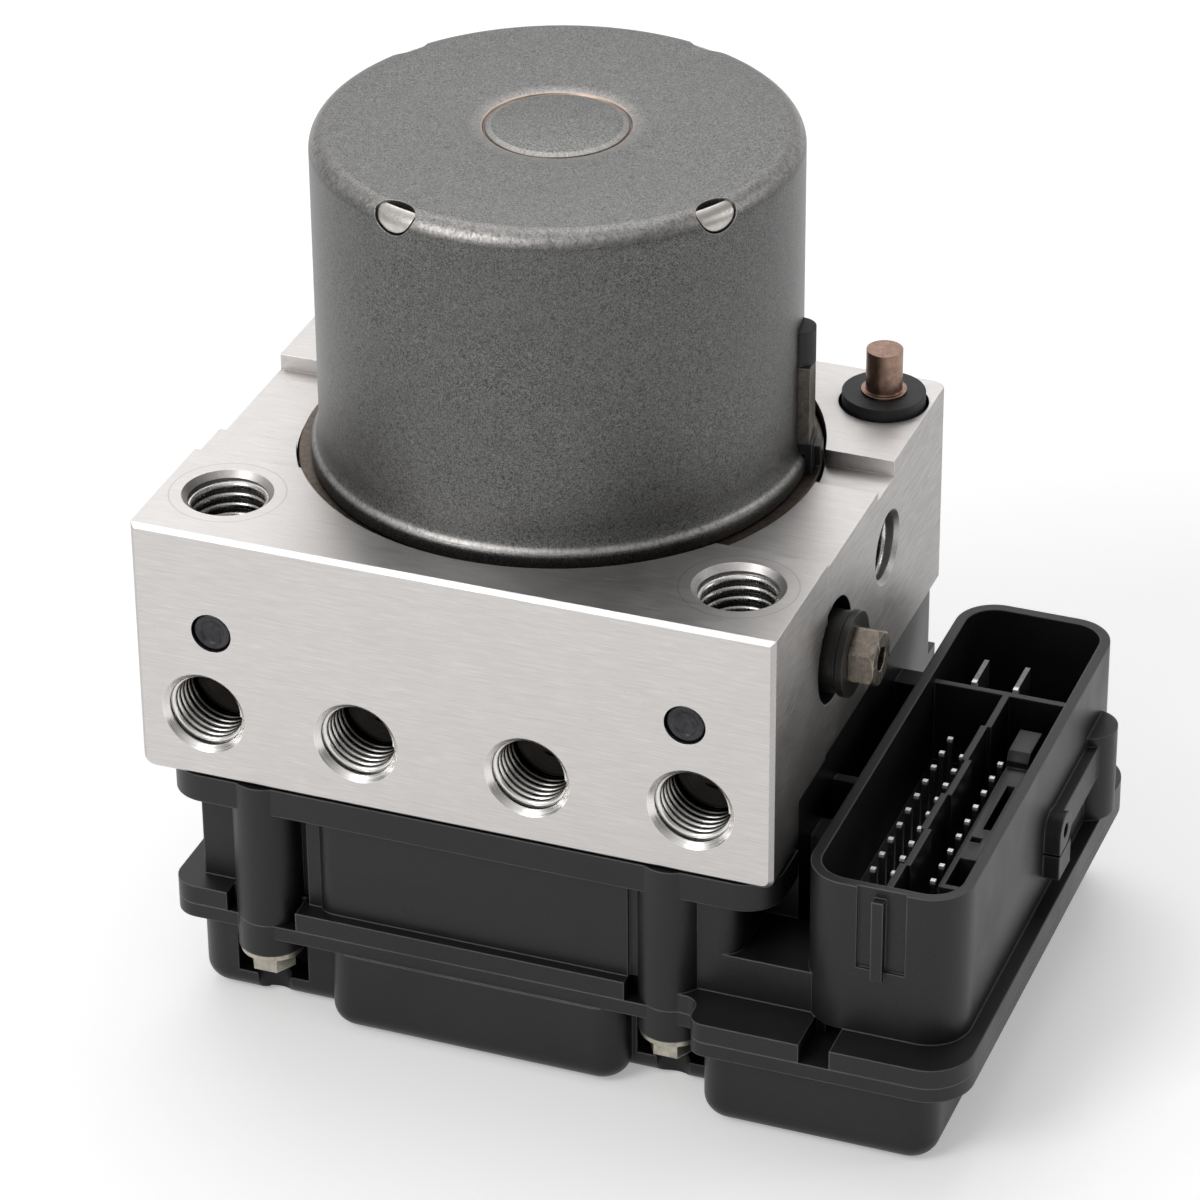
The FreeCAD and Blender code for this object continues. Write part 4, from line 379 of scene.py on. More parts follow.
def milled_aluminium(name, colour, edge, spotfaces):
    finish = Finish(name, colour, 0.4, 1.0)
    along = finish.noise(finish.mapped((240, 6400, 6400)), 1.0, 3.0)
    steep = finish.noise(finish.mapped((4600, 260, 4600), (STEEP_LINES, 0, 0)), 1.0, 4.0)
    sideways = finish.remap(finish.face_towards((1, 0, 0)), 0.6, 0.8)
    lines = finish.math("ADD", finish.times(along, finish.math("SUBTRACT", 1.0, sideways)),
                        finish.times(steep, sideways))
    clouds = finish.noise(finish.coordinates, 90, 4.0)
    specks = finish.remap(finish.noise(finish.coordinates, 1700, 1.0), 0.22, 0.29)
    mottle = finish.noise(finish.mapped((420, 1500, 1500)), 1.0, 4.0)
    shade = finish.mix(finish.remap(lines, 0.3, 0.7), tinted(colour, 0.80), colour)
    shade = finish.mix(finish.remap(mottle, 0.35, 0.65, 0.0, 0.5), shade, tinted(colour, 0.86))
    # The side faces get a darker colour: partly their coarser lines, partly painted shade.
    side_lines_and_shade = finish.mix(finish.remap(lines, 0.3, 0.7), tinted(colour, 0.44), tinted(colour, 0.74))
    shade = finish.mix(sideways, shade, side_lines_and_shade)
    shade = finish.mix(specks, tinted(colour, 0.80), shade)
    for place in spotfaces:
        mark = finish.times(finish.ring_round(place, SPOTFACE_RADIUS, SPOTFACE_LINE),
                            finish.remap(finish.face_towards((0, 0, 1)), 0.9, 0.99, 0.0, 0.6))
        shade = finish.mix(mark, shade, tinted(colour, 0.55))
    # Brighter broken edges with nicks: partly bare worn metal, partly a painted highlight.
    nicks_and_highlight = finish.remap(finish.noise(finish.coordinates, 900, 3.0), 0.33, 0.45)
    shade = finish.mix(finish.times(finish.edge_mask(WORN_EDGE), nicks_and_highlight), shade, BRIGHT_EDGE)
    # Painted shade: the colour is darkened where the Ambient Occlusion node finds a hole or a gap.
    finish.join(finish.painted_shade_inside(shade, 0.05, 0.02, 0.12, 0.60), "Base Color")
    rough = finish.remap(lines, 0.2, 0.8, 0.34, 0.50)
    finish.join(finish.times(rough, finish.remap(clouds, 0.3, 0.7, 0.92, 1.08)), "Roughness")
    finish.join(finish.bump(lines, 0.00002, finish.soft_edges(edge)), "Normal")
    return finish.material


upper_ports = [tuple(mounts[name]["pos_m"]) for name in ("master_port_left", "master_port_right")]
block_finish = milled_aluminium("milled_aluminium", ALUMINIUM, BROKEN_EDGE, upper_ports)
paint(block_finish, "hydraulic_block", "accumulator_piston_left", "accumulator_piston_right")

# %% [markdown]
# ## Coated steel of the motor
#
# The can is drawn from steel sheet and coated dark grey. From close by the coat is mottled with short,
# curly flecks, and it is rubbed bright at the window edges and round the centre disc, where the press
# left streaks that all point to the axis. The rolled rim is lighter too, partly rubbed and partly a
# painted highlight, and the thin light line on the foot bead is a painted highlight. The upright wall is
# painted darker than the top, and the bottom of the groove round the disc and what lies in a gap are
# painted dark: all painted shade. The flecks are a distorted noise, the streaks a noise that only knows
# the direction from the axis, and the rubbed places and painted highlights are found by distance from
# the axis and by height.

# %% Coat of the can
can_low, can_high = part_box("motor_can")
CAN_TOP = can_high.z
CAN_FOOT = can_low.z
CAN_FOOT_RADIUS = can_high.x
CAN_COAT = (0.165, 0.164, 0.161)
RUBBED_AND_HIGHLIGHT = (0.50, 0.48, 0.46)
BROWNISH = (0.50, 0.37, 0.29)
PAINTED_GROOVE_SHADE = (0.05, 0.04, 0.035)
BARE_LIP = (0.55, 0.52, 0.49)
DISC_RADIUS = 0.0108
DISC_BEVEL = 0.0011
HALO_WIDTH = 0.0024
BEAD_HEIGHT = 0.0029
RIM_DEPTH = 0.0010


def coated_steel(name, colour):
    finish = Finish(name, colour, 0.36, 0.85)
    flecks = finish.noise(finish.coordinates, 1700, 3.0, 3.2)
    grains = finish.noise(finish.coordinates, 6000, 2.0)
    clouds = finish.noise(finish.coordinates, 55, 4.0, 0.6)
    fleck = finish.remap(flecks, 0.40, 0.60)
    shade = finish.mix(fleck, tinted(colour, 0.46), tinted(colour, 1.75))
    shade = finish.mix(finish.remap(clouds, 0.3, 0.7, 0.0, 0.3), shade, tinted(colour, 1.1))
    # Painted shade: the upright wall gets a darker colour than the top.
    painted_wall_shade = finish.remap(finish.face_towards((0, 0, 1)), 0.2, 0.8, 0.36, 0.10)
    shade = finish.mix(painted_wall_shade, shade, tinted(colour, 0.12))
    place = finish.node("SeparateXYZ", {0: finish.coordinates})
    flat = finish.vector("MULTIPLY", finish.coordinates, (1, 1, 0))
    radius, height = finish.vector("LENGTH", flat), place.outputs["Z"]
    on_top = finish.remap(height, CAN_TOP - 0.0009, CAN_TOP - 0.0007)
    streaks = finish.noise(finish.vector("NORMALIZE", flat), 34, 4.0)
    disc_edge = DISC_RADIUS - DISC_BEVEL
    halo = finish.times(finish.remap(radius, DISC_RADIUS, DISC_RADIUS + HALO_WIDTH, 1.0, 0.0),
                        finish.remap(radius, disc_edge - 0.0001, disc_edge))
    halo = finish.times(finish.times(halo, on_top), finish.remap(streaks, 0.3, 0.7, 0.1, 0.5))
    shade = finish.mix(halo, shade, RUBBED_AND_HIGHLIGHT)
    ring = finish.times(finish.ring_round((0, 0, 0), DISC_RADIUS + 0.00012, 0.00042), on_top)
    rust = finish.remap(finish.noise(finish.coordinates, 260, 3.0), 0.3, 0.55)
    shade = finish.mix(finish.times(ring, rust), shade, BROWNISH)
    # Painted shade: the bottom of the groove round the disc is painted dark.
    groove_shade = finish.ring_round((0, 0, 0), DISC_RADIUS - 0.00015, 0.00016)
    shade = finish.mix(finish.times(groove_shade, on_top), shade, PAINTED_GROOVE_SHADE)
    # The rolled rim is lighter: partly rubbed, partly a painted highlight.
    from_rim = finish.apart(height, CAN_TOP - RIM_DEPTH)
    rim = finish.times(finish.remap(from_rim, 0.0, 0.0013, 1.0, 0.0),
                       finish.remap(radius, CAN_FOOT_RADIUS - 0.0042, CAN_FOOT_RADIUS - 0.0026))
    scuffs_and_sheen = finish.noise(finish.mapped((1, 1, 0.45), (0.5, 0.4, 0)), 1500, 4.0, 1.2)
    rim = finish.times(rim, finish.remap(scuffs_and_sheen, 0.34, 0.66, 0.25, 1.0))
    shade = finish.mix(rim, shade, RUBBED_AND_HIGHLIGHT)
    # Painted highlight: a thin light line along the foot bead.
    from_bead = finish.apart(height, CAN_FOOT + BEAD_HEIGHT)
    bead = finish.times(finish.remap(from_bead, 0.0001, 0.0005, 1.0, 0.0),
                        finish.remap(scuffs_and_sheen, 0.3, 0.6, 0.3, 0.9))
    shade = finish.mix(bead, shade, RUBBED_AND_HIGHLIGHT)
    lip = finish.times(finish.edge_mask(0.0003), finish.remap(grains, 0.3, 0.5))
    shade = finish.mix(lip, shade, BARE_LIP)
    # Painted shade: darker where the Ambient Occlusion node finds a hole or a gap.
    finish.join(finish.painted_shade_inside(shade, 0.2), "Base Color")
    finish.join(finish.remap(flecks, 0.3, 0.7, 0.31, 0.44), "Roughness")
    relief = finish.math("ADD", flecks, finish.times(grains, 0.5))
    finish.join(finish.bump(relief, 0.00004, finish.soft_edges(0.00015)), "Normal")
    return finish.material


can_finish = coated_steel("coated_steel", CAN_COAT)

# %% [markdown]
# ## Black moulded plastic
#
# Housing and cover are glass-filled nylon: nearly black, satin, with a very fine grain from the mould
# and greyer edges, partly polished by handling and partly a painted highlight. What lies in a gap is
# painted darker, as painted shade. One material serves both shells and what is moulded on them, and the
# rubber of the side bush is a warmer, glossier cousin of it.

# %% Plastic
PLASTIC_GLOSS = 0.34


def moulded_plastic(name, colour, edge_wear_and_highlight_colour, roughness, radius):
    finish = Finish(name, colour, roughness)
    finish.set("Specular IOR Level", PLASTIC_GLOSS)
    grain = finish.noise(finish.coordinates, 4200, 3.0)
    clouds = finish.noise(finish.coordinates, 45, 4.0, 0.8)
    shade = finish.mix(finish.remap(clouds, 0.3, 0.7), colour, tinted(colour, 1.5))
    shade = finish.mix(finish.remap(grain, 0.55, 0.75, 0.0, 0.5), shade, tinted(colour, 3.0))
    # Greyer edges: partly handling wear, partly a painted highlight.
    edge_wear_and_highlight = finish.times(finish.edge_mask(radius, 0.04, 0.22), finish.remap(clouds, 0.25, 0.7, 0.45, 1.0))
    shade = finish.mix(edge_wear_and_highlight, shade, edge_wear_and_highlight_colour)
    # Painted shade: darker where the Ambient Occlusion node finds a gap.
    finish.join(finish.painted_shade_inside(shade, 0.1, 0.012, 0.1, 0.7), "Base Color")
    finish.join(finish.remap(clouds, 0.3, 0.7, roughness - 0.06, roughness + 0.08), "Roughness")
    finish.join(finish.bump(grain, 0.00002, finish.soft_edges(radius)), "Normal")
    return finish.material


unit_finish = moulded_plastic("glass_filled_nylon", (0.011, 0.011, 0.0115), (0.22, 0.22, 0.22), 0.38,
                              0.0004)
paint(unit_finish, "ecu_housing", "ecu_cover", "terminal_guard", "brush_plate", "strip_clip")

# %% [markdown]
# ## Small metal and rubber finishes
#
# The remaining pieces are small, so their materials share one recipe each: worn plated metal, whose base
# colour is broken up by a cloudy noise with brighter edges and is painted darker in holes and gaps as
# painted shade, and rubber, which is almost black and dull.

# %% Plated metal and rubber
def plated_metal(name, colour, stain, roughness, radius=0.0003, inside=0.35, reach=0.006):
    finish = Finish(name, colour, roughness, 1.0)
    clouds = finish.noise(finish.coordinates, 900, 5.0, 0.6)
    scratches = finish.noise(finish.mapped((5200, 5200, 700)), 1.0, 3.0)
    shade = finish.mix(finish.remap(clouds, 0.3, 0.7), stain, colour)
    shade = finish.mix(finish.edge_mask(radius), shade, tinted(colour, 1.5))
    # Painted shade: inside sets how dark the colour gets in holes and gaps.
    finish.join(finish.painted_shade_inside(shade, inside, reach), "Base Color")
    finish.join(finish.remap(scratches, 0.3, 0.7, roughness - 0.08, roughness + 0.12), "Roughness")
    finish.join(finish.bump(scratches, 0.00001, finish.soft_edges(radius)), "Normal")
    return finish.material


def dull_rubber(name, colour, radius=0.0003):
    finish = Finish(name, colour, 0.62)
    grain = finish.noise(finish.coordinates, 3000, 3.0)
    dust = finish.noise(finish.coordinates, 260, 4.0)
    dusty = finish.mix(finish.remap(dust, 0.4, 0.75), colour, tinted(colour, 2.2))
    finish.join(dusty, "Base Color")
    finish.join(finish.bump(grain, 0.00002, finish.soft_edges(radius)), "Normal")
    return finish.material


tab_finish = plated_metal("tab_steel", (0.60, 0.575, 0.55), (0.52, 0.495, 0.47), 0.34, inside=0.12)
paint(plated_metal("flange_steel", (0.15, 0.12, 0.10), (0.08, 0.065, 0.055), 0.42, inside=0.08),
      "motor_flange")
paint(plated_metal("zinc_steel", (0.56, 0.52, 0.44), (0.36, 0.33, 0.28), 0.36), "housing_screws",
      "screw_washers")
paint(plated_metal("bolt_nickel", (0.27, 0.235, 0.195), (0.17, 0.145, 0.12), 0.30), "side_bolt")
paint(plated_metal("pin_copper", (0.36, 0.235, 0.185), (0.24, 0.155, 0.12), 0.34), "mounting_pin")
paint(plated_metal("strip_steel", (0.19, 0.17, 0.15), (0.11, 0.10, 0.09), 0.5), "motor_side_strip")
plug_finish = plated_metal("plug_steel", (0.062, 0.062, 0.066), (0.035, 0.035, 0.038), 0.33, 0.0004)
spring_finish = plated_metal("ground_steel", (0.55, 0.55, 0.56), (0.48, 0.48, 0.49), 0.3)
paint(spring_finish, "motor_shaft", "eccentric_bearing", "pump_piston_left", "pump_piston_right",
      "inlet_valve_bodies", "outlet_valve_bodies", "pump_spring_left", "pump_spring_right",
      "accumulator_spring_left", "accumulator_spring_right",
      *[name for name in nodes if "plunger" in name])
paint(plated_metal("cap_steel", (0.42, 0.41, 0.40), (0.33, 0.32, 0.31), 0.34), "pump_closing_plug",
      "accumulator_cap_left", "accumulator_cap_right")
paint(plated_metal("core_steel", (0.30, 0.30, 0.31), (0.22, 0.22, 0.23), 0.45), "armature_core")
paint(plated_metal("magnet_ferrite", (0.10, 0.10, 0.105), (0.07, 0.07, 0.075), 0.6), "field_magnets")
paint(plated_metal("copper_wire", (0.62, 0.30, 0.15), (0.45, 0.20, 0.10), 0.35), "armature_winding",
      "commutator", "valve_coils")
paint(plated_metal("bush_bronze", (0.55, 0.38, 0.20), (0.42, 0.28, 0.15), 0.4), "lower_shaft_bush",
      "upper_shaft_bush", "pump_sleeve_left", "pump_sleeve_right")
paint(dull_rubber("rubber", (0.012, 0.012, 0.012)), "pin_grommet", "strip_cap", "ecu_seal")
paint(moulded_plastic("bush_rubber", (0.016, 0.0145, 0.0135), (0.17, 0.16, 0.15), 0.30, 0.0003),
      "side_bush")
paint(dull_rubber("brush_carbon", (0.03, 0.03, 0.032)), "carbon_brushes")
paint(dull_rubber("board_green", (0.02, 0.11, 0.05)), "circuit_board")

# %% [markdown]
# ## Tinned terminals
#
# Pins and blades stand deep in the black socket. Their sides only mirror its dark walls, while the cut
# tips face the light and shine white. Both are painted into the colour: the sides are dark, a painted
# reflection, and the end that shows has a white zone, a painted highlight: the top of each pin, and the
# front end of the two blades.

# %% Terminals
def painted_tip_highlight(name, axis, start, end):
    """Painted reflection and highlight: dark sides, and a white tip between two places along an axis."""
    finish = Finish(name, (0.5, 0.5, 0.5), 0.3, 0.8)
    along = finish.vector("DOT_PRODUCT", finish.coordinates, axis)
    tip_highlight = finish.remap(along, start, end)
    grain = finish.noise(finish.coordinates, 3000, 3.0)
    # Painted reflection: the sides are dark. Painted highlight: the tip is white.
    body = finish.mix(finish.remap(grain, 0.35, 0.65), (0.10, 0.098, 0.095), (0.20, 0.195, 0.19))
    finish.join(finish.mix(tip_highlight, body, (0.97, 0.97, 0.96)), "Base Color")
    finish.join(finish.remap(tip_highlight, 0, 1, 0.8, 0.35), "Metallic")
    finish.join(finish.bump(grain, 0.00001, finish.soft_edges(0.0001)), "Normal")
    return finish.material


PIN_TIP = 0.0007
BLADE_TIP = 0.0011
for row in ("terminal_row_one", "terminal_row_two", "terminal_row_three"):
    pin_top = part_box(row)[1].z
    paint(painted_tip_highlight("tinned_" + row, (0, 0, 1), pin_top - PIN_TIP, pin_top - PIN_TIP / 2), row)
blade_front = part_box("power_blades")[0].y
paint(painted_tip_highlight("tinned_blades", (0, -1, 0), -blade_front - BLADE_TIP, -blade_front - BLADE_TIP / 2),
      "power_blades")

# %% [markdown]
# ## The motor can
#
# Seen from close by, the can's outline has to be truly round and its rim softly rolled, so its mesh is
# made anew: a half section turned round the axis in fine steps. The section starts at the open foot,
# bulges into the foot bead, runs up the wall, rolls over the rim and crosses the top with the shallow
# ring round the centre disc. Then it comes back along the inside. Four windows are cut through the rim
# for the tabs of the end shield.

# %% Section of the can
CAN_WALL = 0.0018
RIM_ROUND = 0.003
TURN_STEPS = 192
FOOT_LIP = 0.0004
FOOT_ROUND = 0.0008
FOOT_RISE = 0.0020
FOOT_STEP = 0.0013
FOOT_FLARE = [(0.00035, 0.0036), (0.0001, 0.0046), (0, 0.006)]
INNER_CHAMFER = 0.001
DISC_VALLEY = [(0.0030, 0), (0.0018, 0.00005), (0.0008, 0.00018), (0.0002, 0.00034), (0.0000, 0.00062),
               (-0.0002, 0.00062), (-0.0003, 0.00036), (-0.0011, 0.00006), (-0.0014, 0)]
CAN_RADIUS = CAN_FOOT_RADIUS - FOOT_STEP


def arc(centre, radius, start, end, steps):
    """Points of an arc in the half section, angles in degrees."""
    points = []
    for index in range(steps + 1):
        angle = math.radians(start + (end - start) * index / steps)
        points.append((centre[0] + radius * math.cos(angle), centre[1] + radius * math.sin(angle)))
    return points


def can_section():
    """Outline of the can's half section, round its outside and back along its inside."""
    inner = CAN_RADIUS - CAN_WALL
    outline = [(inner, CAN_FOOT), (CAN_FOOT_RADIUS - FOOT_LIP, CAN_FOOT)]
    outline += arc((CAN_FOOT_RADIUS - FOOT_LIP, CAN_FOOT + FOOT_LIP), FOOT_LIP, -60, 0, 2)
    outline += arc((CAN_FOOT_RADIUS - FOOT_ROUND, CAN_FOOT + FOOT_RISE), FOOT_ROUND, 0, 62, 5)
    outline += [(CAN_RADIUS + out, CAN_FOOT + rise) for out, rise in FOOT_FLARE]
    outline += arc((CAN_RADIUS - RIM_ROUND, CAN_TOP - RIM_ROUND), RIM_ROUND, 0, 90, 12)
    outline += [(DISC_RADIUS + distance, CAN_TOP - depth) for distance, depth in DISC_VALLEY]
    ceiling = CAN_TOP - CAN_WALL
    outline += [(0, CAN_TOP), (0, ceiling)]
    return outline + [(inner - INNER_CHAMFER, ceiling), (inner, ceiling - INNER_CHAMFER)]


MERGE_REACH = 1e-6
MERGE_FINE = 1e-7


def finished_mesh(shape, name):
    """Turn a closed shape's faces outwards and make a mesh of it."""
    bmesh.ops.recalc_face_normals(shape, faces=shape.faces)
    return mesh_from(shape, name)


def turned_mesh(name, outline, steps):
    """Close a half section into a solid of revolution about Z."""
    shape = bmesh.new()
    rings = []
    for index in range(steps):
        angle = 2 * math.pi * index / steps
        rings.append([shape.verts.new((radius * math.cos(angle), radius * math.sin(angle), height))
                      for radius, height in outline])
    count = len(outline)
    for index in range(steps):
        here, there = rings[index], rings[(index + 1) % steps]
        for step in range(count):
            following = (step + 1) % count
            shape.faces.new((here[step], there[step], there[following], here[following]))
    bmesh.ops.remove_doubles(shape, verts=shape.verts, dist=MERGE_FINE)
    bmesh.ops.dissolve_degenerate(shape, dist=MERGE_FINE, edges=shape.edges)
    return finished_mesh(shape, name)


def turned_into_front(name, outline, steps, places):
    """The same turned shape at several places, its axis along Y, all in one mesh."""
    shape = bmesh.new()
    for place in places:
        single = turned_mesh(name + "_single", outline, steps)
        single.transform(Matrix.Translation(place) @ Matrix.Rotation(math.pi / 2, 4, "X"))
        shape.from_mesh(single)
    return mesh_from(shape, name)


can = link_object("motor_can_turned", turned_mesh("motor_can_turned", can_section(), TURN_STEPS))
print("can has", len(can.data.polygons), "faces")

# %% [markdown]
# The windows are cut with a Boolean. A window is round below, where it ends in the wall, and arched
# above, where it ends in the top. Its cutter is a row of upright columns with matching depth and height,
# turned to its place on the rim. Afterwards the mesh is shaded smooth and every edge sharper than a set
# angle is marked sharp. The last step is the same for each new piece: it gets its finish, rides on a
# body of the model and hides the solid that it stands for.

# %% Windows of the can
WINDOW_MIDDLE = -69.5
WINDOW_ANGLES = [math.radians(WINDOW_MIDDLE + turn) for turn in (-40, 40, 140, 220)]
WINDOW_HALF = 0.0037
WINDOW_DROP = 0.0039
WINDOW_REACH = 0.0031
WINDOW_CENTRE = CAN_TOP - WINDOW_DROP + WINDOW_HALF
WINDOW_STEPS = 24
WINDOW_SPARE = 0.004
SMOOTH_ANGLE = 35


def round_share(distance, half):
    """Height of a half circle of radius 1 at a share of its half width."""
    return math.sqrt(max(0.0, 1 - (distance / half) ** 2))


def window_cutter():
    """One arched prism per window, all in one mesh."""
    shape = bmesh.new()
    above, outside = CAN_TOP + WINDOW_SPARE, CAN_RADIUS + WINDOW_SPARE
    for angle in WINDOW_ANGLES:
        turn = Matrix.Rotation(angle, 4, "Z")
        columns = []
        for index in range(WINDOW_STEPS + 1):
            across = -WINDOW_HALF * math.cos(math.pi * index / WINDOW_STEPS)
            below = WINDOW_CENTRE - WINDOW_HALF * round_share(across, WINDOW_HALF)
            inside = CAN_RADIUS - WINDOW_REACH * round_share(across, 1.06 * WINDOW_HALF)
            corners = ((inside, above), (inside, below), (outside, below), (outside, above))
            columns.append([shape.verts.new(turn @ Vector((x, across, z))) for x, z in corners])
        for near, far in zip(columns, columns[1:]):
            for corner in range(4):
                shape.faces.new((near[corner], near[corner - 1], far[corner - 1], far[corner]))
        shape.faces.new(columns[0])
        shape.faces.new(columns[-1][::-1])
    return finished_mesh(shape, "window_cutter")


# %% Cutting, smoothing and standing in for a solid
def cut_with(piece, name, cutter):
    """Add a Boolean that takes a cutter's shape out of a piece."""
    cut = piece.modifiers.new(name, "BOOLEAN")
    cut.object = cutter
    cut.operation = "DIFFERENCE"
    cut.solver = "EXACT"
    return cut


def bake_modifiers(piece):
    """Replace a piece's mesh by its evaluated one and drop the modifiers."""
    evaluated = piece.evaluated_get(bpy.context.evaluated_depsgraph_get())
    mesh = bpy.data.meshes.new_from_object(evaluated)
    piece.modifiers.clear()
    piece.data = mesh


def shade_smooth(mesh, degrees):
    """Smooth shading, with sharp edges where faces meet at more than an angle."""
    shape = bmesh.new()
    shape.from_mesh(mesh)
    limit = math.radians(degrees)
    for face in shape.faces:
        face.smooth = True
    for edge in shape.edges:
        edge.smooth = len(edge.link_faces) != 2 or edge.calc_face_angle() < limit
    shape.to_mesh(mesh)
    shape.free()


def stand_in(piece, finish, node):
    """Give a piece its finish and let it stand for a solid of the model."""
    piece.data.materials.clear()
    piece.data.materials.append(finish)
    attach(piece, "module")
    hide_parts(node)


cutter = link_object("window_cutter", window_cutter())
cut_with(can, "windows", cutter)
bake_modifiers(can)
bpy.data.objects.remove(cutter)
shade_smooth(can.data, SMOOTH_ANGLE)
stand_in(can, can_finish, "motor_can")
print("can with windows has", len(can.data.polygons), "faces")

# %% [markdown]
# The bright tabs in the windows are bent up from the end shield, a thin plate under the can's top. The
# plate with its bearing boss is turned like the can. A tab is a strip that follows the rim a little
# below the can's skin. It is laid out as a grid: along the strip runs the bent path, across it the
# width, which shrinks in a half circle like the window round it. Solidify gives the grid its thickness.

# %% End shield with tabs
TAB_GAP = 0.00028
TAB_THICK = 0.0008
TAB_HALF = WINDOW_HALF - TAB_GAP
TAB_STEPS = 7
HAIR = 0.0001
PLATE_TOP = CAN_TOP - CAN_WALL - HAIR
PLATE_EDGE = CAN_RADIUS - CAN_WALL - HAIR
PLATE_BOTTOM = PLATE_TOP - 0.0019
BOSS_BOTTOM = PLATE_TOP - 0.006
BOSS_RADIUS = 0.0082
SHAFT_ROOM = 0.0056
PLATE_STEPS = 96


def tab_path():
    """The strip's line in the half section, from the plate over the bend and down the wall."""
    skin = RIM_ROUND - TAB_GAP
    path = [(CAN_RADIUS - 0.0028, PLATE_TOP - 0.0004), (CAN_RADIUS - 0.0024, CAN_TOP - 0.0013)]
    path += arc((CAN_RADIUS - RIM_ROUND, CAN_TOP - RIM_ROUND), skin, 70, 0, 12)
    low = WINDOW_CENTRE - 0.985 * TAB_HALF
    start = path[-1][1]
    return path + [(CAN_RADIUS - TAB_GAP, start + (low - start) * share)
                   for share in (0.3, 0.6, 0.85, 1.0)]


def tab_sheets():
    """The four strips as open sheets, which Solidify thickens inwards."""
    shape = bmesh.new()
    for angle in WINDOW_ANGLES:
        rows = []
        for radius, height in tab_path():
            half = TAB_HALF * round_share(min(0.0, height - WINDOW_CENTRE), TAB_HALF)
            offsets = [half * step / TAB_STEPS for step in range(-TAB_STEPS, TAB_STEPS + 1)]
            rows.append([shape.verts.new((radius * math.cos(angle + offset / CAN_RADIUS),
                                          radius * math.sin(angle + offset / CAN_RADIUS), height))
                         for offset in offsets])
        for near, far in zip(rows, rows[1:]):
            for step in range(len(near) - 1):
                shape.faces.new((near[step], far[step], far[step + 1], near[step + 1]))
    return mesh_from(shape, "shield_tabs")


tabs = link_object("shield_tabs", tab_sheets())
thickness = tabs.modifiers.new("thickness", "SOLIDIFY")
thickness.thickness = TAB_THICK
thickness.offset = -1
bake_modifiers(tabs)
plate_outline = [(SHAFT_ROOM, BOSS_BOTTOM), (BOSS_RADIUS, BOSS_BOTTOM), (BOSS_RADIUS, PLATE_BOTTOM),
                 (PLATE_EDGE, PLATE_BOTTOM), (PLATE_EDGE, PLATE_TOP), (SHAFT_ROOM, PLATE_TOP)]
whole = bmesh.new()
whole.from_mesh(turned_mesh("shield_plate", plate_outline, PLATE_STEPS))
whole.from_mesh(tabs.data)
whole.to_mesh(tabs.data)
whole.free()
shade_smooth(tabs.data, 40)
stand_in(tabs, tab_finish, "motor_end_shield")
print("end shield has", len(tabs.data.polygons), "faces")

# %% [markdown]
# ## Closing plugs
#
# Two drilled passages are closed with pressed-in plugs. Each has a rounded rim, a shallow dish and a
# hair of a gap to its hole, which is too fine for the solids. The section is turned about its axis and
# laid into the front face twice.

# %% Closing plugs
plug_low, plug_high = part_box("front_plugs")
PLUG_SEAT = (plug_high.z - plug_low.z) / 2
PLUG_RADIUS = PLUG_SEAT - 0.00014
PLUG_LENGTH = plug_high.y - plug_low.y
PLUG_RIM = 0.00055
PLUG_DISH = [(0.66, 0.00006), (0.60, 0.00022), (0.52, 0.00036), (0.2, 0.00042), (0, 0.00042)]
PLUG_STEPS = 64


def plug_section():
    """Outline of a plug's half section: its back, its rounded rim and its dished face."""
    rim = arc((PLUG_RADIUS - PLUG_RIM, -PLUG_RIM), PLUG_RIM, 0, 90, 6)
    dish = [(share * PLUG_RADIUS, -depth) for share, depth in PLUG_DISH]
    return [(0, -PLUG_LENGTH), (PLUG_RADIUS, -PLUG_LENGTH)] + rim + dish


plug_places = [(middle, plug_low.y, plug_low.z + PLUG_SEAT)
               for middle in (plug_low.x + PLUG_SEAT, plug_high.x - PLUG_SEAT)]
plugs_mesh = turned_into_front("closing_plugs", plug_section(), PLUG_STEPS, plug_places)
shade_smooth(plugs_mesh, SMOOTH_ANGLE)
plugs = link_object("closing_plugs", plugs_mesh)
stand_in(plugs, plug_finish, "front_plugs")
print("plugs have", len(plugs.data.polygons), "faces")

# %% [markdown]
# ## Guard strip in the socket
#
# Beside the single row of pins stands a moulded strip that keys the plug: a raised head at the rear,
# then a long slot, a small square hole and an open pocket. Its side outline is extruded across, and a
# Boolean cuts the three openings from above. A Bevel modifier breaks the edges so that they catch the
# light.

# %% Guard strip
guard_low, guard_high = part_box("terminal_guard")
GUARD_LEFT = guard_high.x - 0.0034
GUARD_RIGHT = guard_high.x
GUARD_FRONT = -0.0333
GUARD_TOP, GUARD_FOOT = guard_high.z, guard_low.z
HEAD_FRONT, HEAD_BACK = 0.0008, 0.0090
HEAD_TOP = GUARD_TOP + 0.0024
FRONT_CHAMFER, BACK_CHAMFER = 0.0012, 0.001
OPENING_DEPTH, OPENING_SPARE = 0.006, 0.001
GUARD_EDGE = 0.0002
OPENINGS = [(0.0017, 0.0029, -0.0167, -0.0040), (0.0008, 0.0024, -0.0205, -0.0190),
            (0.0008, 0.0034, -0.0325, -0.0250)]


def add_prism(shape, near, far):
    """Close two matching outlines into a prism."""
    rings = [[shape.verts.new(point) for point in ring] for ring in (near, far)]
    shape.faces.new(rings[0])
    shape.faces.new(rings[1][::-1])
    for index in range(len(near)):
        shape.faces.new((rings[0][index], rings[0][index - 1], rings[1][index - 1], rings[1][index]))


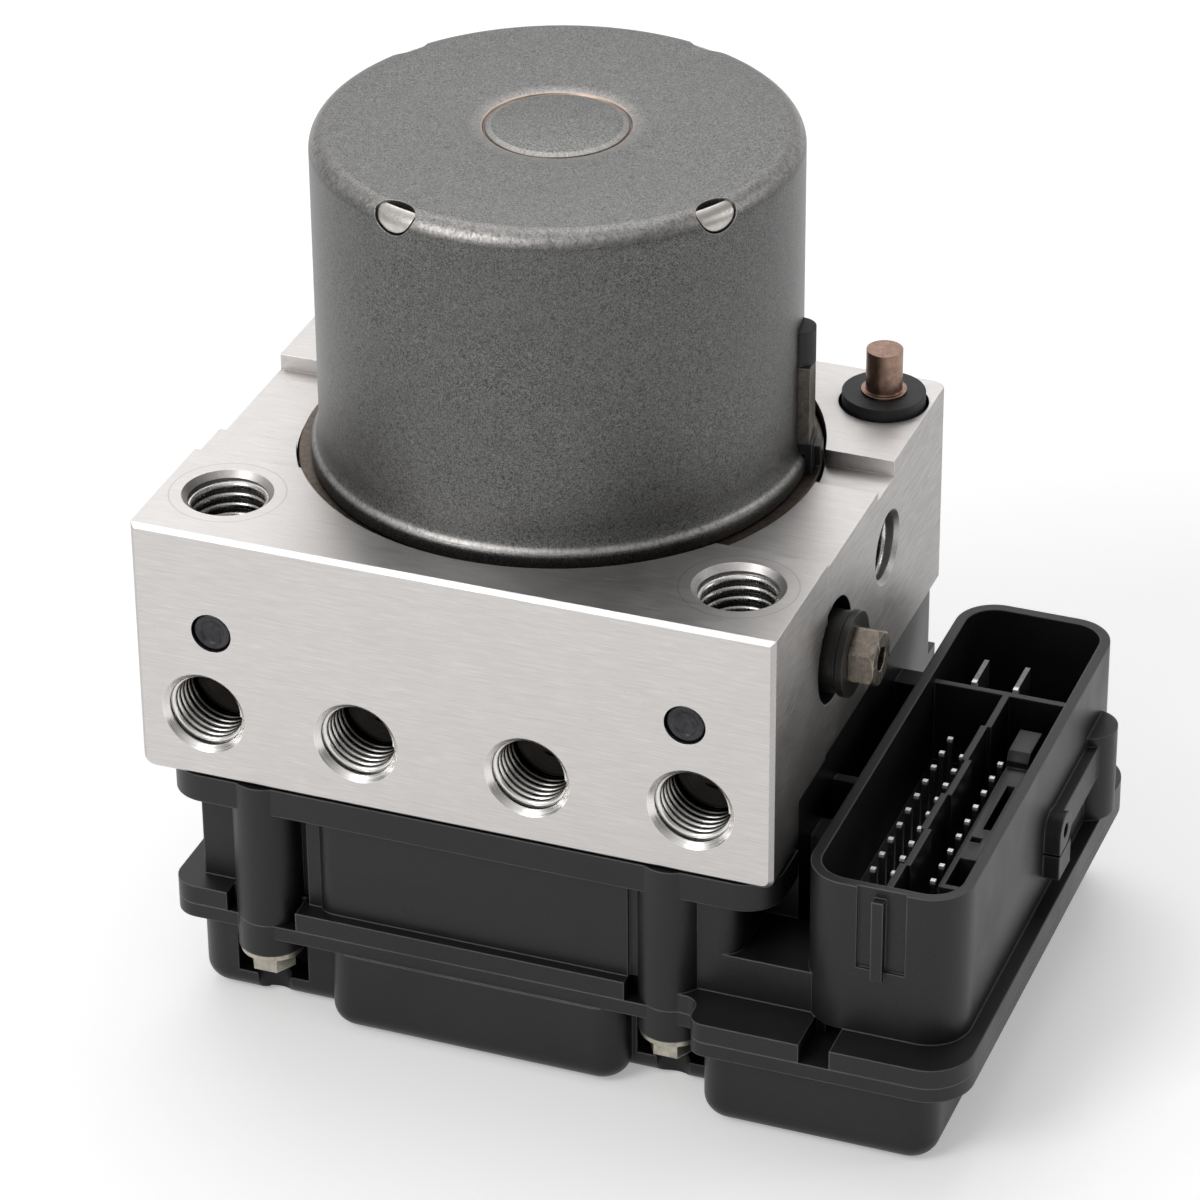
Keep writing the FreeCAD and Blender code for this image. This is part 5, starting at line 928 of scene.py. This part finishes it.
side_view = [(GUARD_FRONT, GUARD_FOOT), (HEAD_BACK, GUARD_FOOT), (HEAD_BACK, HEAD_TOP - BACK_CHAMFER),
             (HEAD_BACK - BACK_CHAMFER, HEAD_TOP), (HEAD_FRONT + FRONT_CHAMFER, HEAD_TOP),
             (HEAD_FRONT, HEAD_TOP - FRONT_CHAMFER), (HEAD_FRONT, GUARD_TOP), (GUARD_FRONT, GUARD_TOP)]
strip_shape = bmesh.new()
add_prism(strip_shape, [(GUARD_LEFT, y, z) for y, z in side_view],
          [(GUARD_RIGHT, y, z) for y, z in side_view])
strip = link_object("guard_strip", finished_mesh(strip_shape, "guard_strip"))
cuts = bmesh.new()
for left, right, near, far in OPENINGS:
    plan = [(GUARD_LEFT + left, near), (GUARD_LEFT + right, near), (GUARD_LEFT + right, far),
            (GUARD_LEFT + left, far)]
    add_prism(cuts, [(x, y, GUARD_TOP - OPENING_DEPTH) for x, y in plan],
              [(x, y, GUARD_TOP + OPENING_SPARE) for x, y in plan])
openings = link_object("guard_openings", finished_mesh(cuts, "guard_openings"))
cut_with(strip, "openings", openings)
broken = strip.modifiers.new("broken edges", "BEVEL")
broken.width = GUARD_EDGE
broken.segments = 2
bake_modifiers(strip)
bpy.data.objects.remove(openings)
shade_smooth(strip.data, SMOOTH_ANGLE)
stand_in(strip, unit_finish, "terminal_guard")
print("guard strip has", len(strip.data.polygons), "faces")

# %% [markdown]
# ## Springs of the two stores
#
# Two small stores in the block take up brake fluid. Each has a piston that pushes a coil spring against
# its cap in the rear face. A rigid coil can't follow that stroke. A merged copy of each spring, shaded
# smooth, takes the solid's place.


def merged_copy(node, name):
    """A copy of a CAD node's mesh with its loose triangles joined, as a new object."""
    shape = bmesh.new()
    shape.from_mesh(nodes[node].data)
    bmesh.ops.remove_doubles(shape, verts=shape.verts, dist=MERGE_REACH)
    return link_object(name, mesh_from(shape, name))


for hand in ("left", "right"):
    coil, slide = "accumulator_spring_" + hand, hand + "_store_slide"
    spring = merged_copy(coil, "store_spring_" + hand)
    shade_smooth(spring.data, 40)
    stand_in(spring, spring_finish, coil)
    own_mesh(spring)

# %% [markdown]
# ## Bush and bolt on the right side
#
# Beside the connector the real bush stands only a few millimetres proud, and its bolt is slim. The
# solids are longer and thicker. Each gets a copy that keeps its turned shape: past a start line along X
# it is shortened, and it is drawn in towards its own axis. Both keep their places and their finishes.

# %% Shortened bush and bolt
SIDE_FACE = 0.050
BUSH_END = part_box("side_bush")[1].x
BUSH_SHARE, BOLT_SHARE = 0.40, 0.66
BUSH_GIRTH, BOLT_GIRTH = 0.90, 0.80
SAME_PLACE = 1e-5
short_end = SIDE_FACE + (BUSH_END - SIDE_FACE) * BUSH_SHARE


def shortened(node, name, start, new_start, share, girth):
    """A copy of a turned part that is shorter past a start line and slimmer about its axis."""
    piece = merged_copy(node, name)
    low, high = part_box(node)
    middle_y, middle_z = (low.y + high.y) / 2, (low.z + high.z) / 2
    for vertex in piece.data.vertices:
        place = vertex.co
        if place.x >= start - SAME_PLACE:
            place.x = new_start + (place.x - start) * share
        place.y = middle_y + (place.y - middle_y) * girth
        place.z = middle_z + (place.z - middle_z) * girth
    shade_smooth(piece.data, 25)
    stand_in(piece, nodes[node].material_slots[0].material, node)


shortened("side_bush", "bush_on_side", SIDE_FACE, SIDE_FACE, BUSH_SHARE, BUSH_GIRTH)
shortened("side_bolt", "bolt_on_side", BUSH_END, short_end, BOLT_SHARE, BOLT_GIRTH)
print("bush ends at", round(short_end * 1000, 1), "mm")

# %% [markdown]
# ## Mouths of the front ports
#
# Each front port starts with a narrow bright chamfer, and its thread begins close behind it. The solid
# has one wide plain cone there. A copy of the block gets the real mouth from a Boolean with a turned
# cutter, which also opens the bore to the thread's outer size. The cutter carries a finish of its own,
# and the Boolean passes it on to the walls that it cuts. That finish is painted darker with depth, as
# painted shade, for the end of a deep hole lies in shade. Weighted Normal keeps the block's large flat
# faces flat when it is shaded smooth.

# %% Finish of the bores
PORT_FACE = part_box("hydraulic_block")[0].y
PAINTED_BORE_SHADE = (0.016, 0.0145, 0.013)
DARK_FROM, DARK_AT = 0.0030, 0.0088


def bored_metal(name, mouth):
    """Turned aluminium painted darker with its depth behind the front face: painted shade."""
    finish = Finish(name, (0.80, 0.785, 0.765), 0.24, 1.0)
    place = finish.node("SeparateXYZ", {0: finish.coordinates})
    rings = finish.noise(finish.mapped((200, 7000, 200)), 1.0, 2.0)
    shade = finish.mix(finish.remap(rings, 0.3, 0.7), (0.72, 0.705, 0.685), (0.86, 0.845, 0.825))
    depth = finish.math("SUBTRACT", place.outputs["Y"], mouth)
    # Painted shade: the colour goes dark between two depths behind the front face.
    finish.join(finish.mix(finish.remap(depth, DARK_FROM, DARK_AT), shade, PAINTED_BORE_SHADE), "Base Color")
    finish.join(finish.remap(rings, 0.3, 0.7, 0.16, 0.34), "Roughness")
    finish.join(finish.soft_edges(0.00015), "Normal")
    return finish.material


bore_finish = bored_metal("bored_aluminium", PORT_FACE)

# %% Recut block
PORT_LIP = 0.00672
PORT_BORE = 0.0058
PORT_DEPTH = 0.0104
ENTRANCE_END = 0.0010
DRILL_TIP = 0.0024
DRILL_SPARE = 0.002
DRILL_STEPS = 72
PORT_MOUTH = [(0, DRILL_SPARE), (PORT_LIP, DRILL_SPARE), (PORT_LIP, 0), (0.00590, -0.00082),
              (PORT_BORE, -ENTRANCE_END), (PORT_BORE, -PORT_DEPTH), (0, -PORT_DEPTH - DRILL_TIP)]
wheel_ports = ["wheel_port_%d" % index for index in (1, 2, 3, 4)]

port_places = [(mounts[name]["pos_m"][0], PORT_FACE, mounts[name]["pos_m"][2]) for name in wheel_ports]
drills = turned_into_front("port_drills", PORT_MOUTH, DRILL_STEPS, port_places)
drills.materials.append(bore_finish)
cutters = link_object("port_drills", drills)

block = merged_copy("hydraulic_block", "valve_block")
block.data.materials.append(block_finish)
cut_with(block, "ports", cutters).material_mode = "TRANSFER"
bake_modifiers(block)
bpy.data.objects.remove(cutters)
shade_smooth(block.data, 30)
weighted = block.modifiers.new("flat faces", "WEIGHTED_NORMAL")
weighted.keep_sharp = True
bake_modifiers(block)
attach(block, "module")
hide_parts("hydraulic_block")
print("block has", len(block.data.polygons), "faces and", len(block.data.materials), "finishes")

# %% [markdown]
# ## Threads
#
# There are seven threaded holes, six for the brake lines and one in the right face. The solids have
# plain bores, and the ridge is a rounded bead that climbs the bore as a helix. One Geometry Nodes tree
# makes it: a spiral curve, swept with a small circle, then copied to each hole. A tree is worth it here,
# because the same helix serves three sizes and three directions, and each has only its inputs changed.

# %% Thread tree
SPIRAL_STEPS = 40
BEAD_STEPS = 10


def tree_input(tree, name, kind, value):
    """A named input of a tree, with the value that it has until a modifier sets it."""
    socket = tree.interface.new_socket(name=name, in_out="INPUT", socket_type=kind)
    socket.default_value = value


def thread_tree():
    """Points in, one thread ridge per point out."""
    tree = bpy.data.node_groups.new("thread ridges", "GeometryNodeTree")
    tree.interface.new_socket(name="Geometry", in_out="INPUT", socket_type="NodeSocketGeometry")
    tree_input(tree, "Bore radius", "NodeSocketFloat", 0.005)
    tree_input(tree, "Pitch", "NodeSocketFloat", 0.0016)
    tree_input(tree, "Length", "NodeSocketFloat", 0.008)
    tree_input(tree, "Bead radius", "NodeSocketFloat", 0.0006)
    tree_input(tree, "Turn", "NodeSocketVector", (0, 0, 0))
    tree.interface.new_socket(name="Material", in_out="INPUT", socket_type="NodeSocketMaterial")
    tree.interface.new_socket(name="Geometry", in_out="OUTPUT", socket_type="NodeSocketGeometry")
    given = add_node(tree, "NodeGroupInput").outputs
    turns = add_node(tree, "ShaderNodeMath", {0: given["Length"], 1: given["Pitch"]}, operation="DIVIDE")
    spiral = add_node(tree, "GeometryNodeCurveSpiral", {
        "Resolution": SPIRAL_STEPS, "Rotations": turns.outputs[0], "Start Radius": given["Bore radius"],
        "End Radius": given["Bore radius"], "Height": given["Length"]})
    bead = add_node(tree, "GeometryNodeCurvePrimitiveCircle", {
        "Resolution": BEAD_STEPS, "Radius": given["Bead radius"]})
    sweep = add_node(tree, "GeometryNodeCurveToMesh", {
        "Curve": spiral.outputs["Curve"], "Profile Curve": bead.outputs["Curve"], "Fill Caps": True})
    copies = add_node(tree, "GeometryNodeInstanceOnPoints", {
        "Points": given["Geometry"], "Instance": sweep.outputs["Mesh"], "Rotation": given["Turn"]})
    real = add_node(tree, "GeometryNodeRealizeInstances", {"Geometry": copies.outputs["Instances"]})
    smooth = add_node(tree, "GeometryNodeSetShadeSmooth", {"Geometry": real.outputs["Geometry"]})
    finish = add_node(tree, "GeometryNodeSetMaterial", {
        "Geometry": smooth.outputs["Geometry"], "Material": given["Material"]})
    add_node(tree, "NodeGroupOutput", {"Geometry": finish.outputs["Geometry"]})
    return tree


def grown_piece(name, points, tree, inputs):
    """Run a Geometry Nodes tree on a set of points and keep the result as a plain mesh."""
    mesh = bpy.data.meshes.new(name)
    mesh.from_pydata(points, [], [])
    piece = link_object(name, mesh)
    modifier = piece.modifiers.new(name, "NODES")
    modifier.node_group = tree
    for item in tree.interface.items_tree:
        if item.in_out == "INPUT" and item.name in inputs:
            modifier[item.identifier] = inputs[item.name]
    bake_modifiers(piece)
    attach(piece, "module")
    print(name, "has", len(piece.data.polygons), "faces")
    return piece


# %% Thread ridges in the holes
THREADS = [("master_port_threads", ["master_port_left", "master_port_right"], 0.0017, 0.00070),
           ("wheel_port_threads", wheel_ports, 0.00128, 0.00060),
           ("bracket_hole_thread", ["bracket_hole"], 0.0016, 0.00062)]
TURNS = {(0, 0, 1): (math.pi, 0, 0), (0, -1, 0): (-math.pi / 2, 0, 0), (1, 0, 0): (0, -math.pi / 2, 0)}
# Painted shade: this finish darkens the thread ridges deep in their holes.
thread_metal = plated_metal("thread_steel", (0.76, 0.75, 0.73), (0.70, 0.69, 0.67), 0.22, radius=0.0002,
                            inside=0.05, reach=0.02)
ridges = thread_tree()
for label, names, pitch, bead in THREADS:
    first = mounts[names[0]]
    axis = Vector(first["axis"])
    length, radius = first["dims"]["length_mm"] * MM, first["dims"]["r_mm"] * MM
    mouths = [Vector(mounts[name]["pos_m"]) + axis * (length / 2 - bead) for name in names]
    finish = thread_metal
    if names is wheel_ports:
        length, radius, finish = PORT_DEPTH - ENTRANCE_END, PORT_BORE, bore_finish
        mouths = [Vector((point.x, PORT_FACE + ENTRANCE_END + bead, point.z)) for point in mouths]
    turn = TURNS[tuple(round(value) for value in axis)]
    piece = grown_piece(label, [tuple(point) for point in mouths], ridges, {
        "Bore radius": radius + HAIR, "Pitch": pitch, "Length": length - 2 * bead, "Bead radius": bead,
        "Turn": turn, "Material": finish})
